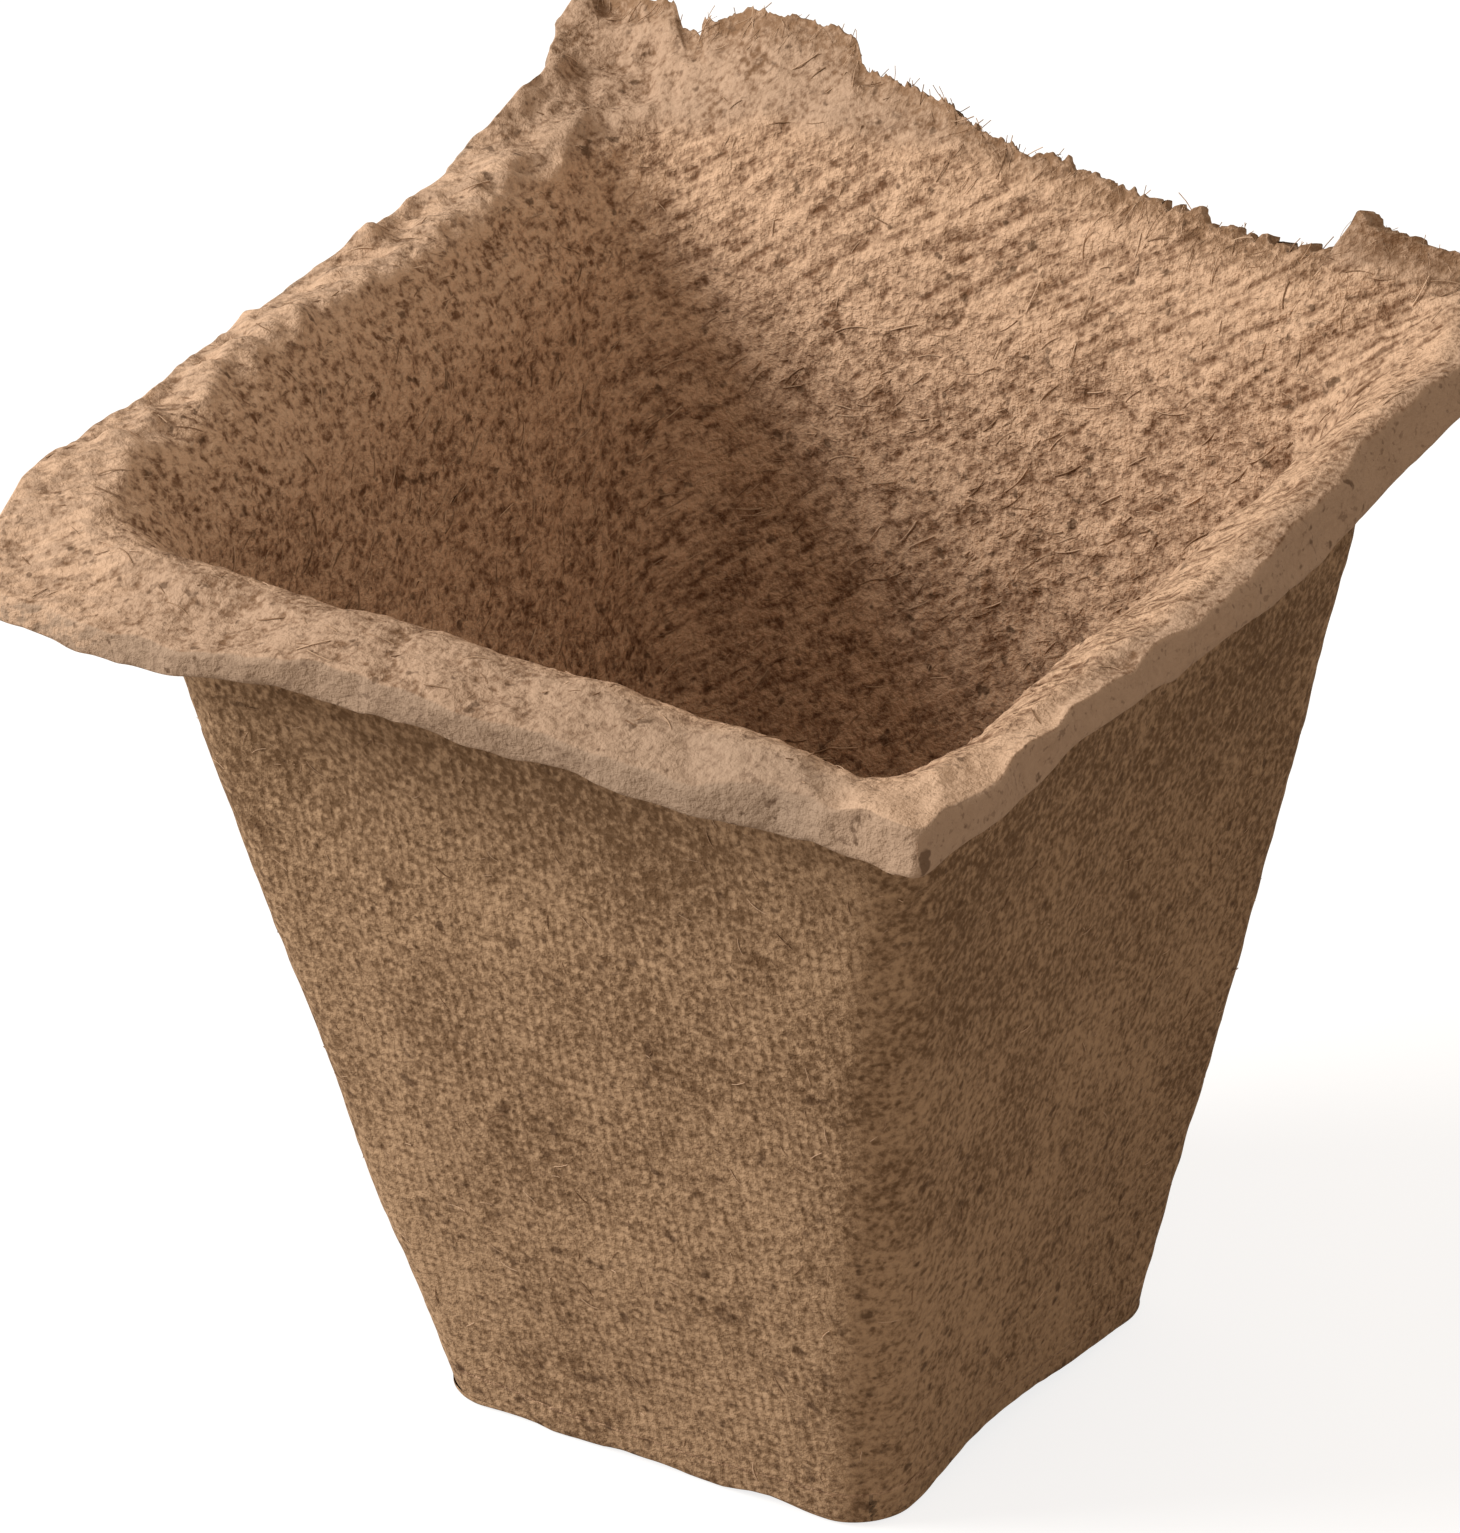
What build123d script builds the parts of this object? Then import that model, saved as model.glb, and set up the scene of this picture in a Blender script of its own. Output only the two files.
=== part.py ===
from build123d import *
from math import asin, atan2, cos, radians, sin, tan
import os

# A square moulded-fibre seedling pot, torn from a strip of pots along its back lip.
# Millimetres, +Z up, the table at z = 0, the pot's middle on the Z axis, front towards -Y.

# Overall sizes
pot_height = 55.9
lip_width = 60.0
base_width = 28.5

# Body
wall_thickness = 1.6
top_corner_radius = 3.4
base_corner_radius = 3.2
inner_radius_share = 1.3

# Base and the four corners that it stands on
base_thickness = 1.8
foot_height = 0.6
foot_width = 7.5
foot_taper = 0.9
foot_edge_radius = 0.4

# Lip, whose rim slopes up towards the back and the left
lip_overhang = 6.3
lip_rise = 5.5
lip_thickness = 2.1
lip_corner_radius = 1.6
lip_edge_radius = 0.6
mouth_edge_inset = 4.2
mouth_corner_radius = 4.6
rim_slope_back = 3.0
rim_slope_left = 0.4
flare_turn = 60.0
flare_steps = 5
flare_reach_share = 0.4

# Torn strip on the back lip, whose table holds places along it, its reach there and its lean there
torn_rise_share = 0.82
strip_thickness = 1.6
strip_lean = 28.0
strip_reach = 10.9
torn_edge_shares = (
    (-1.00, 0.90, 1.36),
    (-0.84, 0.92, 1.32),
    (-0.82, 0.80, 1.32),
    (-0.79, 0.80, 1.31),
    (-0.77, 0.93, 1.30),
    (-0.57, 1.00, 1.18),
    (-0.45, 0.96, 1.15),
    (-0.42, 0.86, 1.14),
    (-0.30, 0.83, 1.10),
    (0.00, 0.68, 1.00),
    (0.20, 0.61, 1.05),
    (0.30, 0.61, 1.10),
    (0.42, 0.54, 1.17),
    (0.52, 0.58, 1.24),
    (0.68, 0.52, 1.40),
    (0.70, 0.74, 1.42),
    (0.80, 0.68, 1.50),
    (1.00, 0.56, 1.75),
)

# Directions that the four sides face, and the corners' turn from them, in degrees
side_facings = {"front": -90.0, "right": 0.0, "back": 90.0, "left": 180.0}
corner_turn = 45.0
foot_places = {
    "front_left": (-1, -1),
    "front_right": (1, -1),
    "back_right": (1, 1),
    "back_left": (-1, 1),
}

# Levels and widths that follow from the sizes
floor_top = foot_height + base_thickness
wall_top = pot_height - lip_rise
wall_top_width = lip_width - 2 * lip_overhang
wall_lean = atan2((wall_top_width - base_width) / 2, wall_top)
wall_inset = wall_thickness / cos(wall_lean)
mouth_width = lip_width - 2 * mouth_edge_inset
flange_foot_width = wall_top_width + 2 * lip_overhang * flare_reach_share
flange_underside = pot_height - lip_thickness
torn_height = wall_top + (flange_underside - wall_top) * torn_rise_share
back_rise = tan(radians(rim_slope_back)) * lip_width / 2

os.makedirs("parts", exist_ok=True)


def body_width(height):
    """Outside width of the tapered body at a height."""
    return base_width + (wall_top_width - base_width) * height / wall_top


def body_radius(height):
    """Outside corner radius of the tapered body at a height."""
    return base_corner_radius + (top_corner_radius - base_corner_radius) * height / wall_top


def sloped_plane(height, slope_share):
    """A plane across the pot's axis at a height, with a share of the rim's slope."""
    up_left = tan(radians(rim_slope_left)) * slope_share
    up_back = tan(radians(rim_slope_back)) * slope_share
    return Plane(origin=(0, 0, height), x_dir=(1, 0, -up_left), z_dir=(up_left, -up_back, 1))


def rounded_square(height, width, radius, slope_share=0):
    """A rounded square about the pot's axis, at a height and with a share of the rim's slope."""
    with BuildSketch(sloped_plane(height, slope_share)) as outline:
        RectangleRounded(width, width, radius)
    return outline.sketch


def flare_shares(step_share):
    """How far a trumpet has risen and spread, as shares of its whole, after a share of its turn."""
    turn = radians(flare_turn)
    return sin(turn * step_share) / sin(turn), (1 - cos(turn * step_share)) / (1 - cos(turn))


def flare_sections(first_width, last_width, first_radius, last_radius, top):
    """Outlines of a trumpet from the walls' level top edge to the sloped rim at a height."""
    outlines = []
    for step in range(flare_steps + 1):
        rise_share, spread_share = flare_shares(step / flare_steps)
        level = wall_top + (top - wall_top) * rise_share
        width = first_width + (last_width - first_width) * spread_share
        radius = first_radius + (last_radius - first_radius) * spread_share
        outlines.append(rounded_square(level, width, radius, rise_share))
    return outlines


def flare_width(first_width, last_width, top, level):
    """Width of such a trumpet at the middle of the back, at a level between its ends."""
    rise_share = (level - wall_top) / (top + back_rise - wall_top)
    step_share = asin(rise_share * sin(radians(flare_turn))) / radians(flare_turn)
    return first_width + (last_width - first_width) * flare_shares(step_share)[1]


def cut_to_side(facing):
    """Keep the quarter that faces a direction, between the two corner diagonals."""
    for turn in (facing - corner_turn, facing + corner_turn):
        across = (cos(radians(turn)), sin(radians(turn)), 0)
        split(bisect_by=Plane(origin=(0, 0, 0), z_dir=across), keep=Keep.TOP)


def save(piece, name):
    """Label a finished piece and write it."""
    piece.part.label = name
    export_step(piece.part, f"parts/{name}.step")


# The flat base
with BuildPart() as base_panel:
    loft([rounded_square(z, body_width(z), body_radius(z)) for z in (foot_height, floor_top)])
save(base_panel, "base_panel")

# The four corners of the base, which reach the table while the edges between them arch clear of it
for corner, (across, along) in foot_places.items():
    with BuildPart() as foot:
        for level, width in ((0, foot_width - foot_taper), (foot_height, foot_width)):
            with BuildSketch(Plane.XY.offset(level)):
                RectangleRounded(body_width(level), body_width(level), body_radius(level))
                with Locations((across * body_width(level) / 2, along * body_width(level) / 2)):
                    Rectangle(2 * width, 2 * width, mode=Mode.INTERSECT)
        loft()
        fillet(foot.edges().group_by(Axis.Z)[0], radius=foot_edge_radius)
    save(foot, f"{corner}_foot")

# The four tapered walls, one hollow body cut along its corners
wall_levels = (floor_top, wall_top)
with BuildPart() as wall_ring:
    loft([rounded_square(z, body_width(z), body_radius(z)) for z in wall_levels])
    inside = [
        rounded_square(z, body_width(z) - 2 * wall_inset, body_radius(z) * inner_radius_share)
        for z in wall_levels
    ]
    loft(inside, mode=Mode.SUBTRACT)

for side, facing in side_facings.items():
    with BuildPart() as wall:
        add(wall_ring.part)
        cut_to_side(facing)
    save(wall, f"{side}_wall")

# The flared lip, one ring cut along its corners, with the back one torn off part way up
with BuildPart() as lip_ring:
    with BuildSketch(sloped_plane(flange_underside, 1)):
        RectangleRounded(lip_width, lip_width, lip_corner_radius)
    extrude(amount=lip_thickness, dir=(0, 0, 1))
    flange_faces = lip_ring.faces().sort_by(Axis.Z)
    fillet(flange_faces[0].edges() + flange_faces[-1].edges(), radius=lip_edge_radius)
    outside = flare_sections(
        wall_top_width,
        flange_foot_width,
        top_corner_radius,
        top_corner_radius,
        flange_underside,
    )
    loft(outside, ruled=True)
    inside = flare_sections(
        wall_top_width - 2 * wall_inset,
        mouth_width,
        top_corner_radius * inner_radius_share,
        mouth_corner_radius,
        pot_height,
    )
    loft(inside, ruled=True, mode=Mode.SUBTRACT)

for side, facing in side_facings.items():
    with BuildPart() as lip:
        add(lip_ring.part)
        cut_to_side(facing)
        if side == "back":
            split(bisect_by=Plane.XY.offset(torn_height), keep=Keep.BOTTOM)
    save(lip, f"{side}_lip")

# The ragged strip left of the next pot's lip, leaning back from the torn lip, most at its ends
torn_outside = flare_width(wall_top_width, flange_foot_width, flange_underside, torn_height)
torn_inside = flare_width(wall_top_width - 2 * wall_inset, mouth_width, pot_height, torn_height)
strip_root = (torn_outside + torn_inside) / 4
root_half = strip_thickness / 2 / cos(radians(strip_lean))
with BuildPart() as torn_strip:
    for place_share, reach_share, lean_share in torn_edge_shares:
        lean = radians(strip_lean * lean_share)
        edge_y = strip_root + strip_reach * reach_share * sin(lean)
        edge_z = torn_height + strip_reach * reach_share * cos(lean)
        half_y = strip_thickness / 2 * cos(lean)
        half_z = strip_thickness / 2 * sin(lean)
        section = Plane(origin=(place_share * lip_width / 2, 0, 0), x_dir=(0, 1, 0), z_dir=(1, 0, 0))
        with BuildSketch(section):
            with BuildLine():
                Polyline(
                    (strip_root - root_half, torn_height),
                    (strip_root + root_half, torn_height),
                    (edge_y + half_y, edge_z - half_z),
                    (edge_y - half_y, edge_z + half_z),
                    close=True,
                )
            make_face()
    loft(ruled=True)
    cut_to_side(side_facings["back"])
save(torn_strip, "torn_strip")
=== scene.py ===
"""Looks of a square peat seedling pot with one torn lip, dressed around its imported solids."""

import logging
import math
from dataclasses import dataclass
from enum import Enum
from itertools import product

import bpy
import numpy as np
from mathutils import Matrix, Vector
from mathutils.kdtree import KDTree


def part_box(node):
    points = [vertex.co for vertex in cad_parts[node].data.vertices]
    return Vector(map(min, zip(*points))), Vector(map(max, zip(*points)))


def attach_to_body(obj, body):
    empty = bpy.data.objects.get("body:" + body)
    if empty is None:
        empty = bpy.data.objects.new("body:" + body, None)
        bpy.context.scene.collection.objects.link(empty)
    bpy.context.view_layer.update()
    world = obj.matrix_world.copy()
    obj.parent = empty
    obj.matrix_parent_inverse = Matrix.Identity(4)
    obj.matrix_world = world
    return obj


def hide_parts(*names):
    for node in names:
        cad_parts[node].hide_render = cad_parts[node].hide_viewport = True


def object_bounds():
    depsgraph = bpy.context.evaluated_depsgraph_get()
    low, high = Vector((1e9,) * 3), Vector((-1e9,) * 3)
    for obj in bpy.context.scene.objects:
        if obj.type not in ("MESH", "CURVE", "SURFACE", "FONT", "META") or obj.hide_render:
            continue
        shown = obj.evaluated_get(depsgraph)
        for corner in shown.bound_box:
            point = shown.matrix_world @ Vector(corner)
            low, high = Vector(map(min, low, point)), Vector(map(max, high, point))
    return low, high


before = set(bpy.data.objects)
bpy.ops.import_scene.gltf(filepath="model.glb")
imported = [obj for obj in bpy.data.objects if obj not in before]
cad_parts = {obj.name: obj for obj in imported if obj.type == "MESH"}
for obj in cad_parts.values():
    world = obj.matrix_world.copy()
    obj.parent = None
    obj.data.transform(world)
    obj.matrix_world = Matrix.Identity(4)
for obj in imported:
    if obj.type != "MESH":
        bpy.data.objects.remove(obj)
CAD_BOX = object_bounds()

LOG = logging.getLogger("peat_pot")
MM = 0.001
TINY = 1e-9
NO_LENGTH = 1e-20
HALF_CORNER = math.pi / 4
JOIN_RADIUS = 0.25
JOIN_AGREEMENT = 0.2
SIDE_LENGTH = 60.0
LATTICE_MIDDLE = 1000.5
STREAK_DIRECTION = (0.80, 0.28, 0.53)
STREAK_WANDER = 1.6
WHERE_FIELD = "where"
TONE_FIELD = "tone"
WHITE = (1.0, 1.0, 1.0, 1.0)

Array = np.ndarray
Number = Array | float
Piece = bpy.types.Object
Finish = bpy.types.Material
Socket = bpy.types.NodeSocket
Colour = tuple[float, float, float, float]
Point = tuple[float, float, float]
Heights = tuple[float, ...]
Inputs = dict[str | int, object] | None


class Side(Enum):
    """The pot's four sides, in the order in which their corners follow each other round the rim."""

    FRONT = 0
    RIGHT = 1
    BACK = 2
    LEFT = 3

    @property
    def label(self) -> str:
        """The side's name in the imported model."""
        return self.name.lower()

    def place(self, share: Array) -> Array:
        """Places round the rim, in corners, of places along the side from -1 to 1."""
        return self.value + (share + 1.0) / 2.0


class Slot(Enum):
    """The record's material slots."""

    WALL = "wall_fibre"
    BASE = "base_fibre"
    LIP = "lip_fibre"
    TORN = "torn_fibre"


def ease(share: Number) -> Number:
    """A soft step from 0 to 1, level at both ends."""
    held = np.clip(share, 0.0, 1.0)
    return held * held * (3.0 - 2.0 * held)


def ramp(value: Number, start: float, end: float) -> Number:
    """A soft step that is 0 at the start and 1 at the end."""
    return ease((value - start) / (end - start))


def along_side(columns: int) -> Array:
    """Evenly spaced places along a side from -1 to 1."""
    return np.linspace(-1.0, 1.0, columns + 1)


def up_rows(rows: int) -> Array:
    """Evenly spaced shares from 0 to 1, one for each row."""
    return np.linspace(0.0, 1.0, rows + 1)[:, None]


def on_line(distance: Array) -> Array:
    """Points at distances along a straight line."""
    zero = np.zeros_like(distance)
    return np.stack((distance, zero, zero), axis=-1)


def lattice_values(cells: Array, seed: int) -> Array:
    """Fixed pseudo-random values from -1 to 1 at whole-number places.

    Args:
        cells: Whole-number places, one row of three for each.
        seed: Number that picks one field out of many.

    Returns:
        One value for each place.
    """
    primes = np.array((73856093, 19349663, 83492791), dtype=np.uint64)
    mixed = (cells.astype(np.uint64) * primes).sum(axis=-1) + np.uint64(seed * 2654435761)
    for shift, factor in ((33, 0xFF51AFD7ED558CCD), (29, 0xC4CEB9FE1A85EC53), (32, 1)):
        mixed = (mixed ^ (mixed >> np.uint64(shift))) * np.uint64(factor)
    return (mixed >> np.uint64(11)).astype(np.float64) / float(1 << 52) - 1.0


def lumps(points: Array, cell: float, seed: int) -> Array:
    """Smooth random lumps from -1 to 1.

    Args:
        points: Places in millimetres.
        cell: Size of a lump in millimetres.
        seed: Number that picks the field.

    Returns:
        The lumps' height at each place.
    """
    turned = points @ np.array(((0.80, 0.36, -0.48), (-0.60, 0.48, -0.64), (0.00, 0.80, 0.60)))
    place = turned / cell + LATTICE_MIDDLE
    floor = np.floor(place)
    part = place - floor
    weight = part * part * part * (part * (part * 6.0 - 15.0) + 10.0)
    height = np.zeros(points.shape[:-1])
    for corner in product((0, 1), repeat=3):
        step = np.array(corner)
        share = np.where(step == 1, weight, 1.0 - weight).prod(axis=-1)
        height += share * lattice_values(floor + step, seed)
    return height


def streaks(points: Array, length: float, width: float, seed: int) -> Array:
    """Random ridges drawn out in the fibres' direction, which wander a little.

    Args:
        points: Places in millimetres.
        length: How long a ridge is in millimetres.
        width: How wide a ridge is in millimetres.
        seed: Number that picks the field.

    Returns:
        The ridges' height from -1 to 1 at each place.
    """
    unit = np.array(STREAK_DIRECTION) / np.linalg.norm(STREAK_DIRECTION)
    wander = np.stack([lumps(points, length, seed + k) for k in (1, 2, 3)], axis=-1)
    bent = points + wander * width * STREAK_WANDER
    run = bent @ unit
    across = bent - run[..., None] * unit
    return lumps(across / width + (run / length)[..., None] * unit, 1.0, seed)


@dataclass(frozen=True)
class RimTable:
    """A quantity that changes round the rim, given at a few places and eased between them.

    Places count corners: 0 front left, 1 front right, 2 back right, 3 back left, 4 front left again.
    """

    knots: tuple[tuple[float, float], ...]

    def at(self, place: Array) -> Array:
        """The quantity at places round the rim.

        Args:
            place: Places in corners from the front left one.

        Returns:
            The eased values.
        """
        where, value = np.array(self.knots).T
        where = np.concatenate((where[-1:] - 4.0, where, where[:1] + 4.0))
        value = np.concatenate((value[-1:], value, value[:1]))
        right = np.clip(np.searchsorted(where, place, side="right"), 1, len(where) - 1)
        share = (place - where[right - 1]) / np.maximum(where[right] - where[right - 1], TINY)
        return value[right - 1] + (value[right] - value[right - 1]) * ease(share)


@dataclass(frozen=True)
class PotForm:
    """Guiding sizes of the moulding in millimetres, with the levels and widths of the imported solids."""

    foot_top: float
    floor_top: float
    wall_top: float
    torn_level: float
    floor_half: float
    wall_half: float
    wall_inset: float = 1.63
    base_radius: float = 3.2
    top_radius: float = 3.4
    inner_radius_share: float = 1.3

    @classmethod
    def from_frame(cls) -> "PotForm":
        """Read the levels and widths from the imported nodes' boxes.

        Returns:
            The sizes.
        """
        base_low, base_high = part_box("base_panel")
        wall_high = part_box("right_wall")[1]
        return cls(
            foot_top=base_low.z / MM,
            floor_top=base_high.z / MM,
            wall_top=wall_high.z / MM,
            torn_level=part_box("back_lip")[1].z / MM,
            floor_half=base_high.x / MM,
            wall_half=wall_high.x / MM,
        )

    @property
    def slope(self) -> float:
        """How far a wall leans out for each millimetre of height."""
        return (self.wall_half - self.floor_half) / (self.wall_top - self.floor_top)

    @property
    def lean(self) -> float:
        """The walls' lean from upright, in radians."""
        return math.atan(self.slope)

    @property
    def stump_run(self) -> float:
        """Length of the flare up to the tear."""
        return (self.torn_level - self.wall_top) / math.cos(self.lean)

    def outer_half(self, level: Number) -> Number:
        """Half of the outside width at a level."""
        return self.floor_half + self.slope * (level - self.floor_top)

    def outer_radius(self, level: Number) -> Number:
        """Outside corner radius at a level."""
        return self.base_radius + (self.top_radius - self.base_radius) * level / self.wall_top


@dataclass
class Sheet:
    """Rows of points over a skin, with what the finish needs to know at each point."""

    points: Array
    push: Array
    inside: Array
    lip: Array
    tear: Array
    print_place: Array

    @classmethod
    def stack(cls, sheets: list["Sheet"]) -> "Sheet":
        """Put the rows of several sheets one after another."""
        return cls(*(np.concatenate(rows) for rows in zip(*(vars(sheet).values() for sheet in sheets))))

    def reversed_rows(self) -> "Sheet":
        """The same rows from last to first."""
        return Sheet(*(rows[::-1] for rows in vars(self).values()))


@dataclass(frozen=True)
class RimShape:
    """How the rim flares, as it differs round the pot: lengths in millimetres, leans in degrees."""

    reach: RimTable
    trumpet_length: RimTable
    trumpet_lean: RimTable
    turn: RimTable
    end_lean: RimTable
    edge: RimTable
    corner: RimTable
    mouth: RimTable


RIM = RimShape(
    reach=RimTable((
        (0.0, 8.2), (0.25, 9.0), (0.5, 8.6), (0.65, 8.1), (0.85, 7.5), (1.0, 7.8), (1.2, 8.3), (1.5, 8.3),
        (1.7, 8.2), (1.85, 9.6), (2.0, 10.4), (2.04, 10.5), (2.08, 10.6), (2.114, 11.1), (2.120, 11.1),
        (2.122, 8.3), (2.20, 8.8), (2.26, 8.6), (2.32, 9.1), (2.40, 9.4), (2.5, 10.1), (2.65, 11.8),
        (2.71, 12.2), (2.725, 13.8), (2.785, 14.2), (2.885, 13.4), (2.895, 12.0), (2.91, 12.2), (2.92, 13.4),
        (3.0, 14.0), (3.1, 10.9), (3.25, 9.4), (3.5, 8.7), (3.7, 8.7), (3.85, 9.1),
    )),
    trumpet_length=RimTable((
        (0.0, 4.0), (0.25, 3.6), (0.5, 3.9), (0.65, 4.3), (0.85, 4.9), (1.0, 5.2), (1.15, 5.8), (1.5, 6.6),
        (1.7, 7.4), (1.85, 8.2), (2.0, 7.8), (2.1, 7.8), (2.5, 9.0), (2.8, 7.6), (2.95, 5.8), (3.1, 5.2),
        (3.3, 5.2), (3.6, 5.2), (3.85, 4.8),
    )),
    trumpet_lean=RimTable((
        (0.0, 46.0), (0.5, 54.0), (0.8, 58.0), (1.0, 62.0), (1.12, 68.0), (1.3, 64.0), (1.5, 62.0),
        (1.85, 58.0), (2.0, 44.0), (2.1, 28.0), (2.25, 30.0), (2.5, 31.0), (2.8, 34.0), (3.0, 40.0),
        (3.3, 44.0), (3.6, 46.0), (3.85, 47.0),
    )),
    turn=RimTable((
        (0.0, 2.0), (0.4, 2.2), (0.6, 2.2), (0.9, 1.6), (1.1, 1.6), (1.3, 1.4), (1.5, 1.2), (1.85, 1.0),
        (2.1, 2.0), (2.9, 2.2), (3.2, 2.4), (3.6, 2.4),
    )),
    end_lean=RimTable((
        (0.0, 92.0), (0.45, 94.0), (0.65, 100.0), (0.9, 96.0), (1.0, 88.0), (1.1, 84.0), (1.25, 82.0),
        (1.42, 80.0), (1.7, 77.0), (1.88, 72.0), (2.0, 58.0), (2.06, 38.0), (2.12, 12.0), (2.25, 36.0),
        (2.5, 38.0), (2.8, 42.0), (2.92, 54.0), (3.0, 64.0), (3.12, 76.0), (3.3, 94.0), (3.6, 101.0),
        (3.85, 97.0),
    )),
    edge=RimTable((
        (0.0, 2.2), (0.5, 2.1), (0.65, 2.4), (0.85, 2.9), (1.0, 2.8), (1.2, 2.1), (1.5, 2.3), (1.7, 3.0),
        (2.0, 1.8), (2.5, 1.1), (3.0, 1.6), (3.5, 1.9),
    )),
    corner=RimTable(((0.0, 1.3), (1.0, 0.8), (2.0, 2.2), (3.0, 1.2))),
    mouth=RimTable(((0.0, 5.2), (1.0, 3.6), (2.0, 4.6), (3.0, 4.6))),
)


@dataclass(frozen=True)
class Relief:
    """Lumps and ridges of the pressed fibre.

    Each kind of face has heights in millimetres for four sizes of lumps, from broad to grain, and for long
    and fine ridges. The fine kinds are shares, for the finish.
    """

    lump_sizes: tuple[tuple[float, int], ...] = ((13.0, 11), (4.6, 12), (1.7, 13), (0.8, 14))
    ridge_sizes: tuple[tuple[float, float, int], ...] = ((5.5, 0.95, 15), (2.6, 0.5, 19))
    outer: Heights = (0.18, 0.09, 0.04, 0.03, 0.0, 0.0)
    inner: Heights = (0.30, 0.20, 0.10, 0.10, 0.03, 0.04)
    rim: Heights = (0.10, 0.28, 0.20, 0.07, 0.0, 0.0)
    ragged_rim: Heights = (0.0, 0.12, 0.26, 0.14, 0.0, 0.0)
    fine_outer: Heights = (0.0, 0.0, 0.5, 0.6, 0.0, 0.0)
    fine_inner: Heights = (0.0, 0.0, 0.0, 0.35, 0.55, 0.45)
    fine_rim: Heights = (0.0, 0.0, 0.6, 0.5, 0.0, 0.0)

    def at(self, points: Array, inside: Array, lip: Array) -> tuple[Array, Array]:
        """Height of the relief over the plain surface.

        Args:
            points: Places in millimetres.
            inside: 1 on the inner face, 0 on the outer one.
            lip: 1 on the lip, 0 on the walls.

        Returns:
            The relief in millimetres, and its fine part from about -1 to 1.
        """
        layers = [lumps(points, *size) for size in self.lump_sizes]
        layers += [streaks(points, *size) for size in self.ridge_sizes]
        layers = np.stack(layers, axis=-1)
        kinds = (self.outer, self.inner, self.rim, self.ragged_rim)
        outer, inner, rim, ragged_rim = (layers @ np.array(kind) for kind in kinds)
        fine_kinds = (self.fine_outer, self.fine_inner, self.fine_rim)
        fine_outer, fine_inner, fine_rim = (layers @ np.array(kind) for kind in fine_kinds)
        ragged = ramp(points[..., 0], -20.0, -24.0) * ramp(points[..., 1], -26.0, -18.0)
        height = outer + (inner - outer) * inside
        fine = fine_outer * (1.0 - inside) + fine_inner * inside
        return height + (rim + ragged * ragged_rim - height) * lip, fine + (fine_rim - fine) * lip


@dataclass(frozen=True)
class Settling:
    """How far this pot has bent from its plain form since it was moulded, in millimetres."""

    right_sag: float = 1.7
    near_tip_sag: float = 1.2
    near_tip_pinch: float = 1.5
    left_tip_sag: float = 2.1
    left_bulge: float = 0.8
    front_bow: float = 0.7
    dent_depth: float = 0.55
    dent_radius: float = 3.0
    far_edge_out: float = 0.35
    near_edge_in: float = 0.25
    far_foot_out: float = 0.4
    far_foot_in: float = 0.8
    edge_lift: float = 0.6

    def bend(self, points: Array, form: PotForm) -> Array:
        """Bend the plain form the way this pot has settled.

        Args:
            points: Places in millimetres.
            form: The plain form's sizes.

        Returns:
            The moved places, none below the table.
        """
        x, y, z = np.moveaxis(points, -1, 0)
        upper, lower, front = ramp(z, 40.0, 54.0), ramp(z, 6.0, 0.0), ramp(y, -8.0, -14.0)
        near_tip = upper * ramp(x - y, 29.0, 49.0)
        left_wall = ramp(x, -8.0, -16.0) * ramp(z, 20.0, 50.0) * np.clip(1.0 - (y / 24.0) ** 2, 0.0, 1.0)
        far_edge = ramp(x + y, 22.0, 36.0) * ramp(z, 52.0, 44.0)
        near_edge = ramp(x - y - 2.0 * form.outer_half(z), -5.5, -1.0) * ramp(z, 51.0, 43.0)
        far_foot = lower * ramp(x, 0.0, 12.0) * ramp(y, 0.0, 12.0)
        right = self.far_edge_out * far_edge + self.far_foot_out * far_foot - self.left_bulge * left_wall
        right = right - self.near_tip_pinch * near_tip * ramp(x, 20.0, 30.0) - self.near_edge_in * near_edge

        dent = front * np.exp(-((x + 12.5) ** 2 + (z - 42.5) ** 2) / self.dent_radius ** 2)
        bow = front * ramp(z, 0.0, 18.0) * ramp(z, 50.0, 36.0) * np.clip(1.0 - (x / 21.0) ** 2, 0.0, 1.0)
        back = self.dent_depth * dent - self.front_bow * bow
        back = back + self.near_edge_in * near_edge - self.far_foot_in * far_foot

        right_rim = upper * ramp(x, 19.0, 27.0) * np.exp(-((y - 2.0) / 15.0) ** 2)
        left_tip = upper * ramp(y, -23.0, -30.0) * ramp(x, -4.0, -26.0)
        uneven = np.clip(0.55 + 0.75 * lumps(points, 3.4, 81), 0.0, 1.0)
        front_edge = uneven * ramp(y, -9.0, -13.0) * ramp(np.abs(x), 12.5, 6.5)
        right_edge = ramp(x, 9.0, 13.0) * ramp(np.abs(y + 2.5), 8.0, 0.0)
        up = self.edge_lift * lower * ramp(z, 0.0, 0.6) * (right_edge - front_edge)
        up = up - self.right_sag * right_rim - self.near_tip_sag * near_tip - self.left_tip_sag * left_tip
        return np.stack((x + right, y + back, np.maximum(z + up, 0.0)), axis=-1)


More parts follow.
